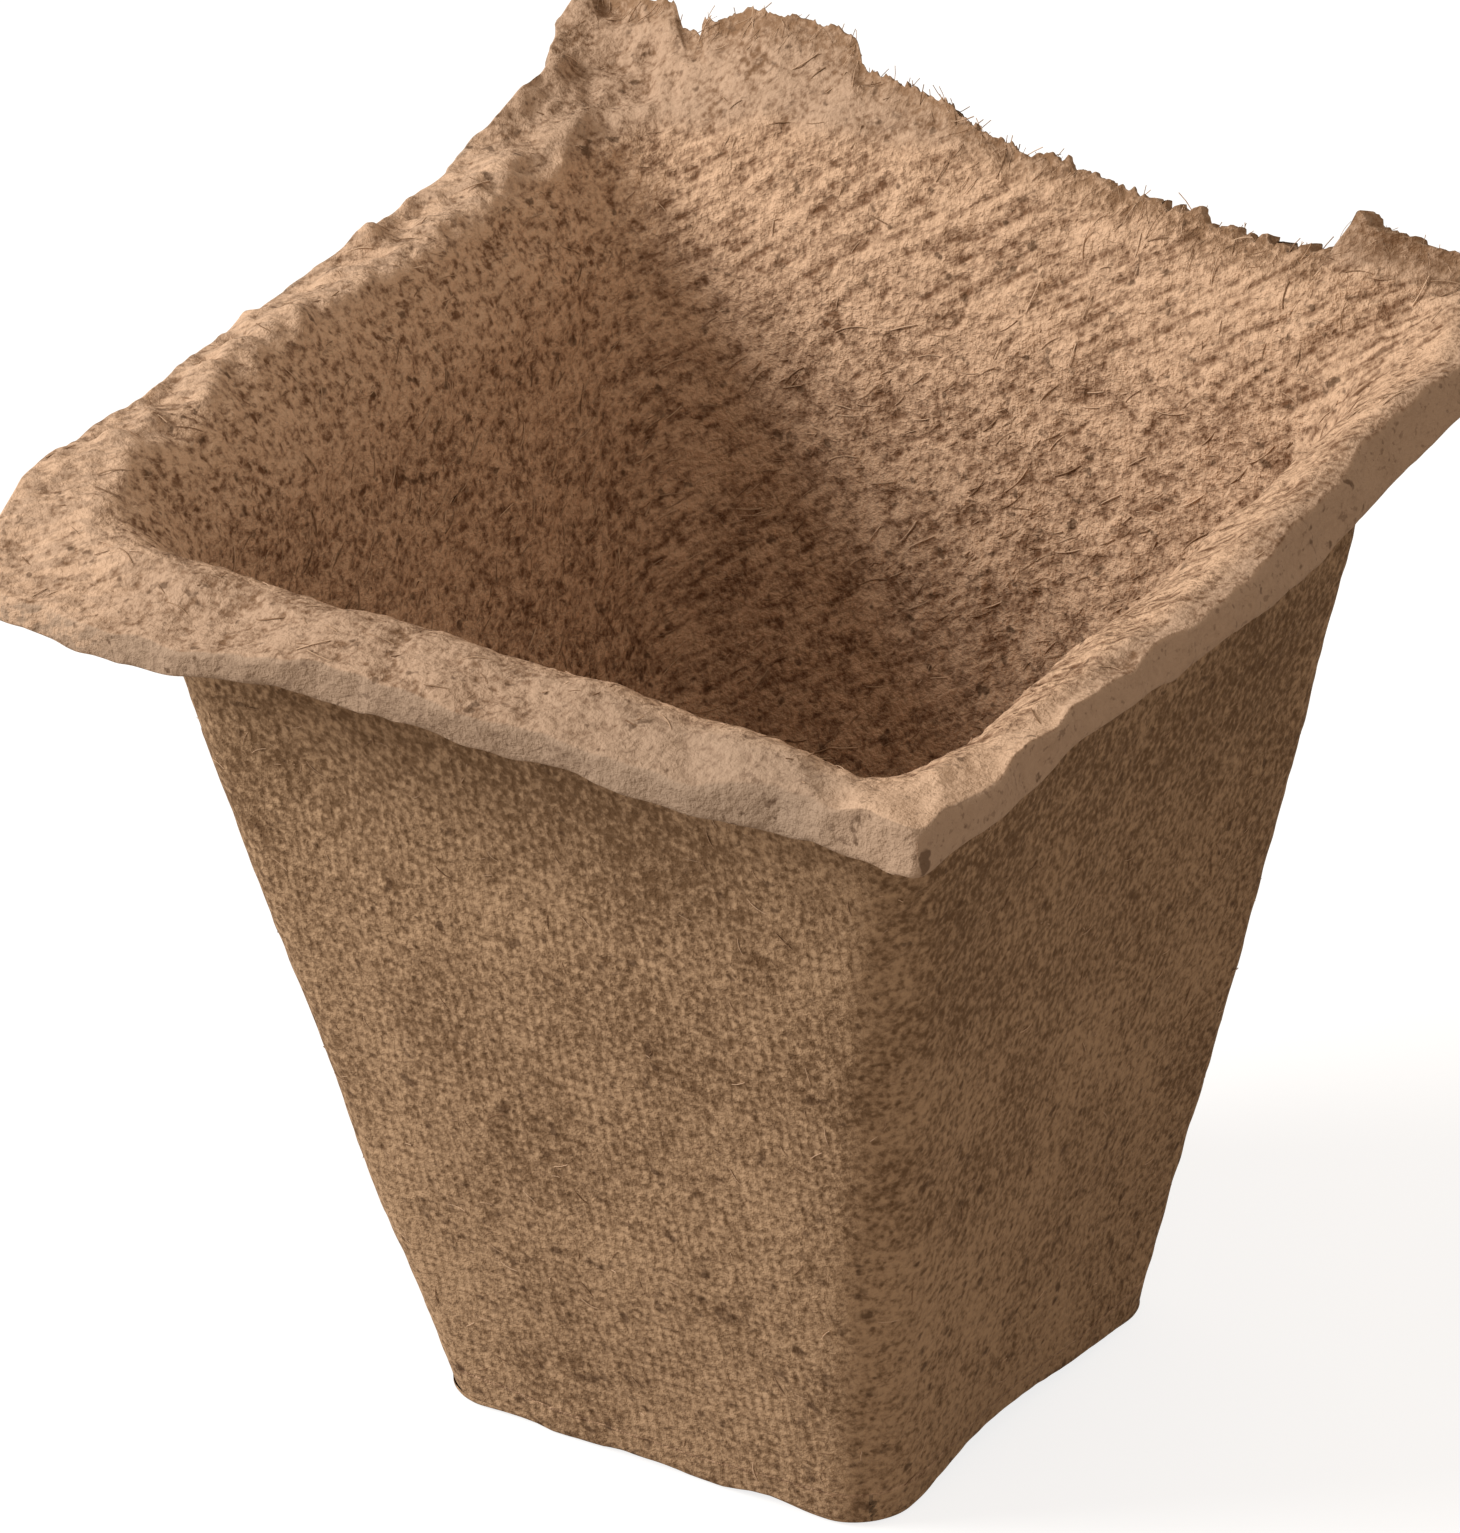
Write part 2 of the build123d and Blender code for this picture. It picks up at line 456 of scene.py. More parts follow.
@dataclass
class PotSkin:
    """The moulding's shared surface: every piece takes its points from here, so neighbours meet."""

    form: PotForm
    rim: RimShape = RIM
    relief: Relief = Relief()
    settling: Settling = Settling()
    columns: int = 260
    fine_steps: int = 120
    edge_squareness: float = 4.6
    early_bend: float = 0.55
    tilt_run: float = 1.6
    edge_run: float = 5.0
    corner_run: float = 4.5
    crest_height: float = 0.20
    crest_turn: float = 0.6
    crest_share: float = 0.55
    torn_thinning: float = 0.5
    ragged: float = 0.50
    wander: float = 0.45

    def around(self, side: Side, share: Array, half: Array, radius: Array) -> tuple[Array, Array]:
        """Points of a rounded square on one side, between its two corner diagonals.

        Args:
            side: The side.
            share: Place along the side from -1 to 1, by length along the outline.
            half: Half of the square's width.
            radius: Its corner radius.

        Returns:
            The points' x and y, and the outward directions' x and y.
        """
        straight = half - radius
        run = share * (straight + radius * HALF_CORNER)
        turn = np.clip((np.abs(run) - straight) / radius, 0.0, HALF_CORNER) * np.sign(share)
        corner = np.abs(run) > straight
        x = np.where(corner, np.sign(share) * straight + radius * np.sin(turn), run)
        y = -np.where(corner, straight + radius * np.cos(turn), half)
        spin = side.value * math.pi / 2
        c, s = round(math.cos(spin)), round(math.sin(spin))
        out_x, out_y = np.sin(turn), -np.cos(turn)
        place = np.stack((c * x - s * y, s * x + c * y), axis=-1)
        return place, np.stack((c * out_x - s * out_y, s * out_x + c * out_y), axis=-1)

    def sheet(self, side: Side, share: Array, half: Array, level: Array, radius: Array, lean: Number,
              inside: Number, lip: Number = 0.0, tear: Number = 0.0) -> Sheet:
        """Lay rows of points on one side from their half widths and levels.

        Args:
            side: The side.
            share: Place along the side of each point.
            half: Half width of the outline through each point.
            level: Height of each point.
            radius: Corner radius of that outline.
            lean: Way that relief pushes, from level outward (0) to straight down (a quarter turn).
            inside: 1 on the inner face, 0 on the outer one.
            lip: 1 on the lip, 0 on the walls.
            tear: 1 at the torn edge, 0 away from it.

        Returns:
            The rows.
        """
        share, half, level, radius, lean, inside, lip, tear = np.broadcast_arrays(
            share, half, level, radius, lean, inside, lip, tear)
        place, out = self.around(side, share, half, radius)
        points = np.concatenate((place, level[..., None]), axis=-1)
        push = np.concatenate((out * np.cos(lean)[..., None], -np.sin(lean)[..., None]), axis=-1)
        length = half - radius + radius * HALF_CORNER
        print_place = np.stack((share * length, level, np.zeros_like(level)), axis=-1)
        return Sheet(points, push, inside, lip, tear, print_place)

    def wall(self, side: Side, levels: Array, columns: int, inner: bool) -> Sheet:
        """One face of a wall.

        Args:
            side: The side.
            levels: Heights of the rows.
            columns: Number of columns.
            inner: Whether this is the inner face.

        Returns:
            The rows from the lowest level up.
        """
        form, level = self.form, levels[:, None]
        half = form.outer_half(level) - (form.wall_inset if inner else 0.0)
        radius = form.outer_radius(level) * (form.inner_radius_share if inner else 1.0)
        push = math.pi if inner else 0.0
        return self.sheet(side, along_side(columns)[None, :], half, level, radius, push, float(inner))

    def stray(self, place: Array, cell: float, seed: int) -> Array:
        """How far an edge of the rim wanders from its plain line.

        Args:
            place: Places round the rim, in corners.
            cell: Length of a bend in millimetres.
            seed: Number that picks the line.

        Returns:
            The wander in millimetres, none at the front left corner, where the round closes.
        """
        line = on_line(place * SIDE_LENGTH)
        bends = 0.7 * lumps(line, cell, seed) + 0.3 * lumps(line, cell / 2.6, seed + 1)
        return self.wander * bends * ramp(np.minimum(place, 4.0 - place), 0.0, 0.08)

    def rim_reach(self, side: Side, share: Array, torn: bool = False) -> Array:
        """Length of the flare from the walls' top edge to its own edge.

        Args:
            side: The side.
            share: Places along it.
            torn: Whether the edge is ragged.

        Returns:
            The lengths in millimetres.
        """
        place = side.place(share)
        reach = self.rim.reach.at(place) + self.stray(place, 6.5, 63) * (0.4 + ramp(place, 2.95, 3.15))
        if torn:
            line = on_line(share * SIDE_LENGTH / 2.0)
            shreds = 0.5 * lumps(line, 2.6, 73) - 0.45
            for cell, height, seed in ((1.7, 0.85, 71), (0.7, 0.60, 72), (0.33, 0.35, 74)):
                shreds = shreds + height * (1.0 - np.abs(lumps(line, cell, seed))) ** 4
            reach = reach + self.ragged * shreds * ramp(np.abs(share), 1.0, 0.97)
        return reach

    def turn_run(self, place: Array) -> Array:
        """Length of the trumpet below the lip, which wanders along the rim."""
        return self.rim.trumpet_length.at(place) + self.stray(place, 4.6, 61)

    def flare(self, side: Side, share: Array, runs: Array) -> tuple[Array, Array, Array, Array]:
        """Middle line of the flare's section, bent outwards from the wall's lean.

        Args:
            side: The side.
            share: Place along the side for each column.
            runs: Length along the section for each row and column.

        Returns:
            Half width, level, lean from upright, and thickness, for each row and column.
        """
        form, place = self.form, side.place(share)
        end_lean = np.radians(self.rim.end_lean.at(place))
        trumpet_lean = np.radians(self.rim.trumpet_lean.at(place))
        trumpet_length = self.turn_run(place)
        longest = float(runs.max()) + 0.01
        step = longest / self.fine_steps
        fine = np.linspace(0.0, longest, self.fine_steps + 1)[:, None]
        bent = np.clip(fine / trumpet_length, 0.0, 1.0) ** self.early_bend
        lean = form.lean + (trumpet_lean - form.lean) * bent
        lean = lean + (end_lean - trumpet_lean) * ease((fine - trumpet_length) / self.rim.turn.at(place))
        middle = (lean[1:] + lean[:-1]) / 2.0
        spot = np.clip(runs / step, 0.0, self.fine_steps - 1e-6)
        low = spot.astype(int)
        part = spot - low
        column = np.broadcast_to(np.arange(lean.shape[1]), runs.shape)

        def read(table: Array) -> Array:
            """Read a fine table at the wanted lengths."""
            return table[low, column] * (1.0 - part) + table[low + 1, column] * part

        def walked(paces: Array) -> Array:
            """Add up the paces along the section, and read how far they have led."""
            return read(np.concatenate((np.zeros_like(lean[:1]), np.cumsum(paces * step, axis=0))))

        half = form.wall_half - form.wall_inset / 2.0 + walked(np.sin(middle))
        level = form.wall_top + walked(np.cos(middle))
        thick = form.wall_inset + (self.rim.edge.at(place) - form.wall_inset) * ease(runs / self.edge_run)
        return half, level, read(lean), thick

    def lip_face(self, side: Side, runs: Array, inner: bool, tear: Number = 0.0) -> Sheet:
        """One face of the flare.

        Args:
            side: The side.
            runs: Length along the section for each row and column.
            inner: Whether this is the upper, inner face.
            tear: Nearness to the torn edge for each row and column.

        Returns:
            The rows from the wall outwards.
        """
        form, share = self.form, along_side(runs.shape[1] - 1)
        place = side.place(share)
        half, level, lean, thick = self.flare(side, share, runs)
        turn_run, corner = self.turn_run(place), self.rim.corner.at(place)
        tilt = lean * ease(runs / self.tilt_run)
        thick = thick * (1.0 - self.torn_thinning * tear)
        if inner:
            turned = np.radians(self.rim.end_lean.at(place) - self.rim.trumpet_lean.at(place))
            crest = self.crest_height * np.clip(turned / self.crest_turn, 0.0, 1.0)
            past_crest = runs - turn_run - self.crest_share * self.rim.turn.at(place)
            thick = thick + 2.0 * crest * np.exp(-past_crest ** 2)
            first = form.top_radius * form.inner_radius_share
            mouth = first + (self.rim.mouth.at(place) - first) * ease(runs / turn_run)
            radius = mouth + (corner - mouth) * ease((runs - turn_run) / self.corner_run)
        else:
            radius = form.top_radius + (corner - form.top_radius) * ease(runs / self.edge_run)
        across = -thick / 2.0 if inner else thick / 2.0
        half = half + across * np.cos(tilt)
        level = level - across * np.sin(tilt)
        push = tilt + math.pi if inner else tilt
        lip = ease((runs - turn_run) / self.tilt_run)
        return self.sheet(side, share[None, :], half, level, radius, push, float(inner), lip, tear)

    def lip_edge(self, side: Side, reach: Array, steps: int, tear: Number, bulge: float) -> Sheet:
        """The rounded edge that joins the flare's two faces.

        Args:
            side: The side.
            reach: Length of the flare for each column.
            steps: Number of rows round the edge.
            tear: 1 on a torn edge.
            bulge: How far the edge stands out, in half thicknesses.

        Returns:
            The rows from the outer face over to the inner one.
        """
        share = along_side(len(reach) - 1)
        half, level, lean, thick = self.flare(side, share, reach[None, :])
        thick = thick * (1.0 - self.torn_thinning * tear)
        turn = np.linspace(0.0, math.pi, steps + 2)[1:-1][:, None]
        square = 2.0 / self.edge_squareness
        across = np.sign(np.cos(turn)) * np.abs(np.cos(turn)) ** square * thick / 2.0
        ahead = np.sin(turn) ** square * thick / 2.0 * bulge
        half = half + across * np.cos(lean) + ahead * np.sin(lean)
        level = level - across * np.sin(lean) + ahead * np.cos(lean)
        radius, inside = self.rim.corner.at(side.place(share)), ease(turn / math.pi)
        return self.sheet(side, share[None, :], half, level, radius, lean + turn, inside, 1.0, tear)

    def flare_loop(self, side: Side, runs: Array, tear: Number, edge_rows: int, bulge: float) -> Sheet:
        """Rows up the outer face of the flare, over its edge and down the inner face.

        Args:
            side: The side.
            runs: Length along the section for each row and column, up to the edge.
            tear: Nearness to a torn edge, which is 1 at the edge itself.
            edge_rows: Number of rows round the edge, none where another piece stands on it.
            bulge: How far the edge stands out, in half thicknesses.

        Returns:
            The rows.
        """
        sheets = [self.lip_face(side, runs, False, tear)]
        if edge_rows:
            sheets.append(self.lip_edge(side, runs[-1], edge_rows, float(np.max(tear)), bulge))
        return Sheet.stack(sheets + [self.lip_face(side, runs, True, tear).reversed_rows()])

    def finish(self, sheet: Sheet) -> tuple[Array, Array]:
        """Raise a sheet's relief and bend it.

        Args:
            sheet: The rows.

        Returns:
            The finished points in millimetres, and the relief's fine part.
        """
        height, fine = self.relief.at(sheet.points, sheet.inside, sheet.lip)
        return self.settling.bend(sheet.points + sheet.push * height[..., None], self.form), fine


def into_scene(name: str, data: bpy.types.ID) -> Piece:
    """Make an object of some data and link it to the scene."""
    made = bpy.data.objects.new(name, data)
    bpy.context.scene.collection.objects.link(made)
    return made


def grid_faces(rows: int, columns: int, closed: bool = False) -> Array:
    """Corner numbers of the four-sided faces over rows and columns of points.

    Args:
        rows: Number of rows.
        columns: Number of columns of points.
        closed: Whether the last row joins the first.

    Returns:
        One line of four numbers for each face.
    """
    low = np.arange(rows if closed else rows - 1)
    high = (low + 1) % rows
    left = np.arange(columns - 1)
    a = low[:, None] * columns + left
    b = high[:, None] * columns + left
    return np.stack((a, a + 1, b + 1, b), axis=-1).reshape(-1, 4)


def mesh_object(name: str, points: Array, faces: Array, flat: Array, fields: dict[str, Array]) -> Piece:
    """Make a mesh object from arrays.

    Args:
        name: The object's name.
        points: Places in millimetres.
        faces: Four corner numbers for each face.
        flat: Whether each face is shaded flat.
        fields: Values for each point, by attribute name, single or in threes.

    Returns:
        The object, linked to the scene.
    """
    mesh = bpy.data.meshes.new(name)
    mesh.vertices.add(len(points))
    mesh.vertices.foreach_set("co", (points * MM).astype(np.float32).ravel())
    mesh.loops.add(faces.size)
    mesh.loops.foreach_set("vertex_index", faces.astype(np.int32).ravel())
    mesh.polygons.add(len(faces))
    mesh.polygons.foreach_set("loop_start", np.arange(0, faces.size, 4, dtype=np.int32))
    mesh.update(calc_edges=True)
    mesh.polygons.foreach_set("use_smooth", ~flat)
    for key, values in fields.items():
        kind, target = ("FLOAT_VECTOR", "vector") if values.ndim == 2 else ("FLOAT", "value")
        layer = mesh.attributes.new(key, kind, "POINT")
        layer.data.foreach_set(target, values.astype(np.float32).ravel())
    mesh.validate()
    mesh.update()
    return into_scene(name, mesh)


def band_object(node: str, skin: PotSkin, loop: Sheet, flat_rows: tuple[int, ...] = ()) -> Piece:
    """Make a closed piece from a loop of rows round its section, capped at both corner diagonals.

    Args:
        node: Name of the node that it dresses.
        skin: The shared surface that finishes the rows.
        loop: Rows round the section, up the outer face and down the inner one, to a hidden joint face.
        flat_rows: Other rows after which the face band is a hidden joint face, shaded flat.

    Returns:
        The object.
    """
    points, fine = skin.finish(loop)
    rows, columns = points.shape[:2]
    faces = grid_faces(rows, columns, closed=True)
    flat = np.zeros((rows, columns - 1), dtype=bool)
    flat[[*flat_rows, rows - 1]] = True
    pairs = np.arange((rows - 1) // 2)
    near, far = pairs * columns, (rows - 1 - pairs) * columns
    cap = np.stack((near, near + columns, far - columns, far), axis=-1)
    caps = np.concatenate((cap, cap[:, ::-1] + columns - 1))
    caps = caps[[len(set(c)) == 4 for c in caps.tolist()]]
    fields = {key: getattr(loop, key).reshape(-1) for key in ("inside", "lip", "tear")}
    fields |= {"relief": fine.reshape(-1), "print_place": loop.print_place.reshape(-1, 3)}
    flags = np.concatenate((flat.ravel(), np.ones(len(caps), dtype=bool)))
    return mesh_object(f"{node}_fibre", points.reshape(-1, 3), np.concatenate((faces, caps)), flags, fields)


@dataclass
class Walls:
    """The four tapered walls, which meet on the corner diagonals."""

    skin: PotSkin
    rows: int = 150

    def build(self) -> list[Piece]:
        """Make the four walls.

        Returns:
            The walls.
        """
        form, columns = self.skin.form, self.skin.columns
        levels = np.linspace(form.floor_top, form.wall_top, self.rows + 1)
        made = []
        for side in Side:
            outer, inner = (self.skin.wall(side, levels, columns, face) for face in (False, True))
            loop = Sheet.stack([outer, inner.reversed_rows()])
            made.append(band_object(f"{side.label}_wall", self.skin, loop, (self.rows,)))
        return made


@dataclass
class Lips:
    """The flared lip on the three whole sides, and its stump on the torn one."""

    skin: PotSkin
    face_rows: int = 56
    edge_rows: int = 12
    edge_bulge: float = 0.6

    def build(self) -> list[Piece]:
        """Make the four lips.

        Returns:
            The lips.
        """
        skin, share = self.skin, along_side(self.skin.columns)
        made = []
        for side in Side:
            torn = side is Side.BACK
            reach = np.full_like(share, skin.form.stump_run) if torn else skin.rim_reach(side, share)
            runs = up_rows(self.face_rows) * reach
            loop = skin.flare_loop(side, runs, 0.0, 0 if torn else self.edge_rows, self.edge_bulge)
            made.append(band_object(f"{side.label}_lip", skin, loop, (self.face_rows,) if torn else ()))
        return made


@dataclass
class TornStrip:
    """The ragged strip that stands on the torn lip."""

    skin: PotSkin
    columns: int = 480
    face_rows: int = 56
    edge_rows: int = 5
    edge_bulge: float = 0.5
    torn_depth: float = 2.2

    def build(self) -> list[Piece]:
        """Make the strip.

        Returns:
            The strip.
        """
        root, side = self.skin.form.stump_run, Side.BACK
        reach = self.skin.rim_reach(side, along_side(self.columns), torn=True)
        runs = root + up_rows(self.face_rows) * (reach - root)
        tear = ease(1.0 - (reach - runs) / self.torn_depth)
        loop = self.skin.flare_loop(side, runs, tear, self.edge_rows, self.edge_bulge)
        return [band_object("torn_strip", self.skin, loop)]


def concentric(a: Array, b: Array) -> tuple[Array, Array, Array]:
    """Map a square of places onto rings.

    Args:
        a: First place from -1 to 1.
        b: Second place from -1 to 1.

    Returns:
        The ring from 0 to 1, the side number, and the place along the side from -1 to 1.
    """
    ring = np.maximum(np.abs(a), np.abs(b))
    front = (b <= 0) & (np.abs(b) >= np.abs(a))
    back = (b > 0) & (np.abs(b) >= np.abs(a))
    right = (a > 0) & ~front & ~back
    side = np.select((front, right, back), (0, 1, 2), 3)
    share = np.select((front, right, back), (a, b, -a), -b) / np.maximum(ring, TINY)
    return ring, side, np.clip(share, -1.0, 1.0)


def square_border(size: int) -> Array:
    """Point numbers round the edge of a square grid, anticlockwise from above.

    Args:
        size: Number of points along an edge.

    Returns:
        The numbers.
    """
    last = size - 1
    line = np.arange(last)
    return np.concatenate((line, line * size + last, last * size + last - line, (last - line) * size))


@dataclass
class Base:
    """The flat floor and the four corners that it stands on."""

    skin: PotSkin
    cells: int = 128
    round_rows: int = 6
    side_rows: int = 5
    edge_radius: float = 0.6
    least_radius: float = 0.5
    least_half: float = 1e-6
    cove: float = 1.1
    cove_share: float = 0.16
    floor_relief: float = 0.6
    joint_fade: float = 0.03
    foot_cells: int = 40
    foot_reach: float = 0.8
    foot_fade: float = 0.85
    foot_crowding: float = 1.6

    def disc(self, a: Array, b: Array, level: Number, inset: Number) -> tuple[Array, Array]:
        """Points on a filled rounded square, which is the walls' outline at a level.

        Args:
            a: First place from -1 to 1.
            b: Second place from -1 to 1.
            level: Height of the points.
            inset: How far the square lies inside the walls' outline.

        Returns:
            The points, and the outward directions' x and y.
        """
        form, level = self.skin.form, np.zeros(a.shape) + level
        ring, number, share = concentric(a, b)
        radius = np.maximum(form.outer_radius(level) - inset, self.least_radius)
        wide = np.maximum((form.outer_half(level) - inset) * ring, self.least_half)
        bend = np.maximum(radius * ring, self.least_half / 10.0)
        place = out = np.zeros(a.shape + (2,))
        for side in Side:
            spots, ways = self.skin.around(side, share, wide, bend)
            here = (number == side.value)[..., None]
            place, out = np.where(here, spots, place), np.where(here, ways, out)
        return np.concatenate((place, level[..., None]), axis=-1), out

    def foot_share(self, a: Array, b: Array) -> Array:
        """1 where a foot carries the edge, 0 on the arches between the feet."""
        nearer = np.minimum(np.abs(a), np.abs(b))
        return ease((nearer - 1.0 + self.foot_reach) / (self.foot_fade * self.foot_reach))

    def side_row(self, a: Array, b: Array, level: Number, inset: Number) -> Array:
        """A row of points round the base's side, with the walls' relief.

        Args:
            a: First place of each border point, from -1 to 1.
            b: Second place of each border point.
            level: Height of the points.
            inset: How far they lie inside the walls' outline.

        Returns:
            The points.
        """
        plain = np.zeros(a.shape)
        spots, out = self.disc(a, b, level, inset)
        spots[..., :2] += out * self.skin.relief.at(spots, plain, plain)[0][..., None]
        return spots

    def panel(self) -> Piece:
        """Make the floor, with a cove against the walls and a lower edge that is round between the feet.

        Returns:
            The floor.
        """
        form, relief = self.skin.form, self.skin.relief
        a, b = np.meshgrid(along_side(self.cells), along_side(self.cells))
        ring, plain = np.maximum(np.abs(a), np.abs(b)), np.zeros(a.shape)
        border = square_border(self.cells + 1)
        edge = a.ravel()[border], b.ravel()[border]
        inner_ring = 1.0 - form.wall_inset / form.outer_half(form.floor_top)
        top = self.disc(a, b, form.floor_top, 0.0)[0]
        rise = self.cove * np.clip((ring - inner_ring) / self.cove_share + 1.0, 0.0, 1.0) ** 2
        rise = rise + self.floor_relief * relief.at(top, plain + 1.0, plain)[0]
        top[..., 2] += rise * ramp(ring, inner_ring + self.joint_fade, inner_ring)
        top.reshape(-1, 3)[border] = self.side_row(*edge, form.floor_top, 0.0)
        open_share = 1.0 - self.foot_share(a, b)
        arch = self.edge_radius * open_share
        under = self.disc(a, b, form.foot_top, arch)[0]
        under[..., 2] += np.abs(relief.at(under, plain, plain)[0]) * ramp(ring, 0.92, 0.82) * open_share
        edge_arch = arch.ravel()[border]
        under.reshape(-1, 3)[border] = self.side_row(*edge, form.foot_top, edge_arch)
        rows = []
        for turn in np.linspace(0.0, math.pi / 2, self.round_rows + 1)[1:]:
            lift, inset = edge_arch * (1.0 - math.cos(turn)), edge_arch * (1.0 - math.sin(turn))
            rows.append(self.side_row(*edge, form.foot_top + lift, inset))
        start = form.foot_top + edge_arch
        for share in np.linspace(0.0, 1.0, self.side_rows + 2)[1:-1]:
            rows.append(self.side_row(*edge, start + (form.floor_top - start) * share, 0.0))

        count, line = a.size, np.arange(len(border))
        cells = grid_faces(self.cells + 1, self.cells + 1)
        numbers = [border + count, *(2 * count + k * len(line) + line for k in range(len(rows))), border]
        bands = [
            np.stack((low, np.roll(low, -1), np.roll(high, -1), high), axis=-1)
            for low, high in zip(numbers, numbers[1:])
        ]
        nearer = np.minimum(np.abs(a), np.abs(b))
        hidden_top = ring.ravel()[cells].min(axis=1) > inner_ring
        hidden_under = nearer.ravel()[cells].min(axis=1) > 1.0 - self.foot_reach
        faces = np.concatenate([cells, cells[:, ::-1] + count, *bands])
        flat = np.zeros(len(faces), dtype=bool)
        flat[:2 * len(cells)] = np.concatenate((hidden_top, hidden_under))
        points = np.concatenate([top.reshape(-1, 3), under.reshape(-1, 3), *rows])
        inside = np.arange(len(points)) < count
        return self.dressed("base_panel", points, faces, flat, inside.astype(float))

    def foot(self, across: int, along: int, node: str) -> Piece:
        """Make one bottom corner, a shallow cap under the floor whose outer edge is round.

        Args:
            across: Side of the corner along X, -1 or 1.
            along: Side of the corner along Y, -1 or 1.
            node: The corner's node name.

        Returns:
            The corner.
        """
        form = self.skin.form
        line = 1.0 - self.foot_reach * np.linspace(1.0, 0.0, self.foot_cells + 1) ** self.foot_crowding
        first, second = np.meshgrid(line, line)
        a, b = first * across, second * along
        ring = np.maximum(first, second)
        share = self.foot_share(a, b)
        arch = self.edge_radius * (1.0 - share)
        top = self.disc(a, b, form.foot_top, arch)[0]
        border = square_border(self.foot_cells + 1)
        outer = border[ring.ravel()[border] > 1.0 - TINY]
        rim = self.side_row(a.ravel()[outer], b.ravel()[outer], form.foot_top, arch.ravel()[outer])
        top.reshape(-1, 3)[outer] = rim
        under = top.copy()
        edge = np.clip((1.0 - ring) * form.outer_half(form.foot_top) / form.foot_top, 0.0, 1.0)
        under[..., 2] -= form.foot_top * np.sqrt(1.0 - (1.0 - edge) ** 2) * share
        joined = np.arange(ring.size) + ring.size
        joined[border] = border
        cells = grid_faces(self.foot_cells + 1, self.foot_cells + 1)
        faces = np.concatenate((cells, joined[cells[:, ::-1]]))
        faces = faces[:, ::-1] if across * along < 0 else faces
        flat = np.arange(len(faces)) < len(cells)
        points = np.concatenate((top.reshape(-1, 3), under.reshape(-1, 3)))
        used, numbers = np.unique(faces, return_inverse=True)
        return self.dressed(node, points[used], numbers.reshape(faces.shape), flat, np.zeros(len(used)))

    def dressed(self, node: str, points: Array, faces: Array, flat: Array, inside: Array) -> Piece:
        """Make a base piece and give its points what the finish needs.

        Args:
            node: Name of the node that it dresses.
            points: Places in millimetres.
            faces: Four corner numbers for each face.
            flat: Whether each face is a hidden joint face, shaded flat.
            inside: 1 on the inner face, 0 elsewhere.

        Returns:
            The piece.
        """
        zero = np.zeros(len(points))
        along = np.where(np.abs(points[:, 1]) > np.abs(points[:, 0]), points[:, 0], points[:, 1])
        fields = {
            "inside": inside,
            "lip": zero,
            "tear": zero,
            "relief": self.skin.relief.at(points, inside, zero)[1],
            "print_place": np.stack((along, points[:, 2], zero), axis=-1),
        }
        bent = self.skin.settling.bend(points, self.skin.form)
        return mesh_object(f"{node}_fibre", bent, faces, flat, fields)

    def build(self) -> list[Piece]:
        """Make the floor and its four corners."""
        corners = {"front_left": (-1, -1), "front_right": (1, -1), "back_right": (1, 1), "back_left": (-1, 1)}
        return [self.panel()] + [self.foot(x, y, f"{name}_foot") for name, (x, y) in corners.items()]


def unit(ways: Array) -> Array:
    """Directions of length 1."""
    return ways / np.maximum(np.linalg.norm(ways, axis=-1, keepdims=True), NO_LENGTH)


def shared_ways(spots: Array, ways: Array, radius: float) -> Array:
    """Even out directions between places that lie near each other.

    Args:
        spots: The places.
        ways: Their directions.
        radius: How near two places are to count as one.

    Returns:
        The evened directions.
    """
    tree = KDTree(len(spots))
    for k, place in enumerate(spots):
        tree.insert(place, k)
    tree.balance()
    totals = np.zeros_like(ways)
    for k, place in enumerate(spots):
        for _, other, gap in tree.find_range(place, radius):
            if ways[other] @ ways[k] > JOIN_AGREEMENT:
                totals[k] += ways[other] * (1.0 - gap / radius)
    return unit(totals)


def soften_joins(pieces: list[Piece], radius: float) -> None:
    """Shade neighbouring pieces as one skin: where they meet, their points share one direction.

    Args:
        pieces: The pieces of the moulding.
        radius: How near two border points are to count as one place, in metres.
    """
    kept, spots, ways = [], [], []
    for piece in pieces:
        points = np.array([point.co for point in piece.data.vertices])
        faces = np.array([face.vertices[:] for face in piece.data.polygons])
        smooth = np.array([face.use_smooth for face in piece.data.polygons])
        a, b, c, d = points[faces.T]
        face_way = np.cross(c - a, d - b)
        way = np.zeros_like(points)
        for k in range(4):
            np.add.at(way, faces[smooth, k], face_way[smooth])
        way = unit(way)
        border = np.intersect1d(faces[smooth], faces[~smooth])
        kept.append((piece, faces, smooth, unit(face_way), way, border))
        spots.append(points[border])
        ways.append(way[border])
    shared = shared_ways(np.concatenate(spots), np.concatenate(ways), radius)
    at = 0
    for piece, faces, smooth, face_way, way, border in kept:
        way[border] = shared[at:at + len(border)]
        at += len(border)
        corner_way = np.where(smooth[:, None, None], way[faces], face_way[:, None, :])
        piece.data.normals_split_custom_set(corner_way.reshape(-1, 3).tolist())


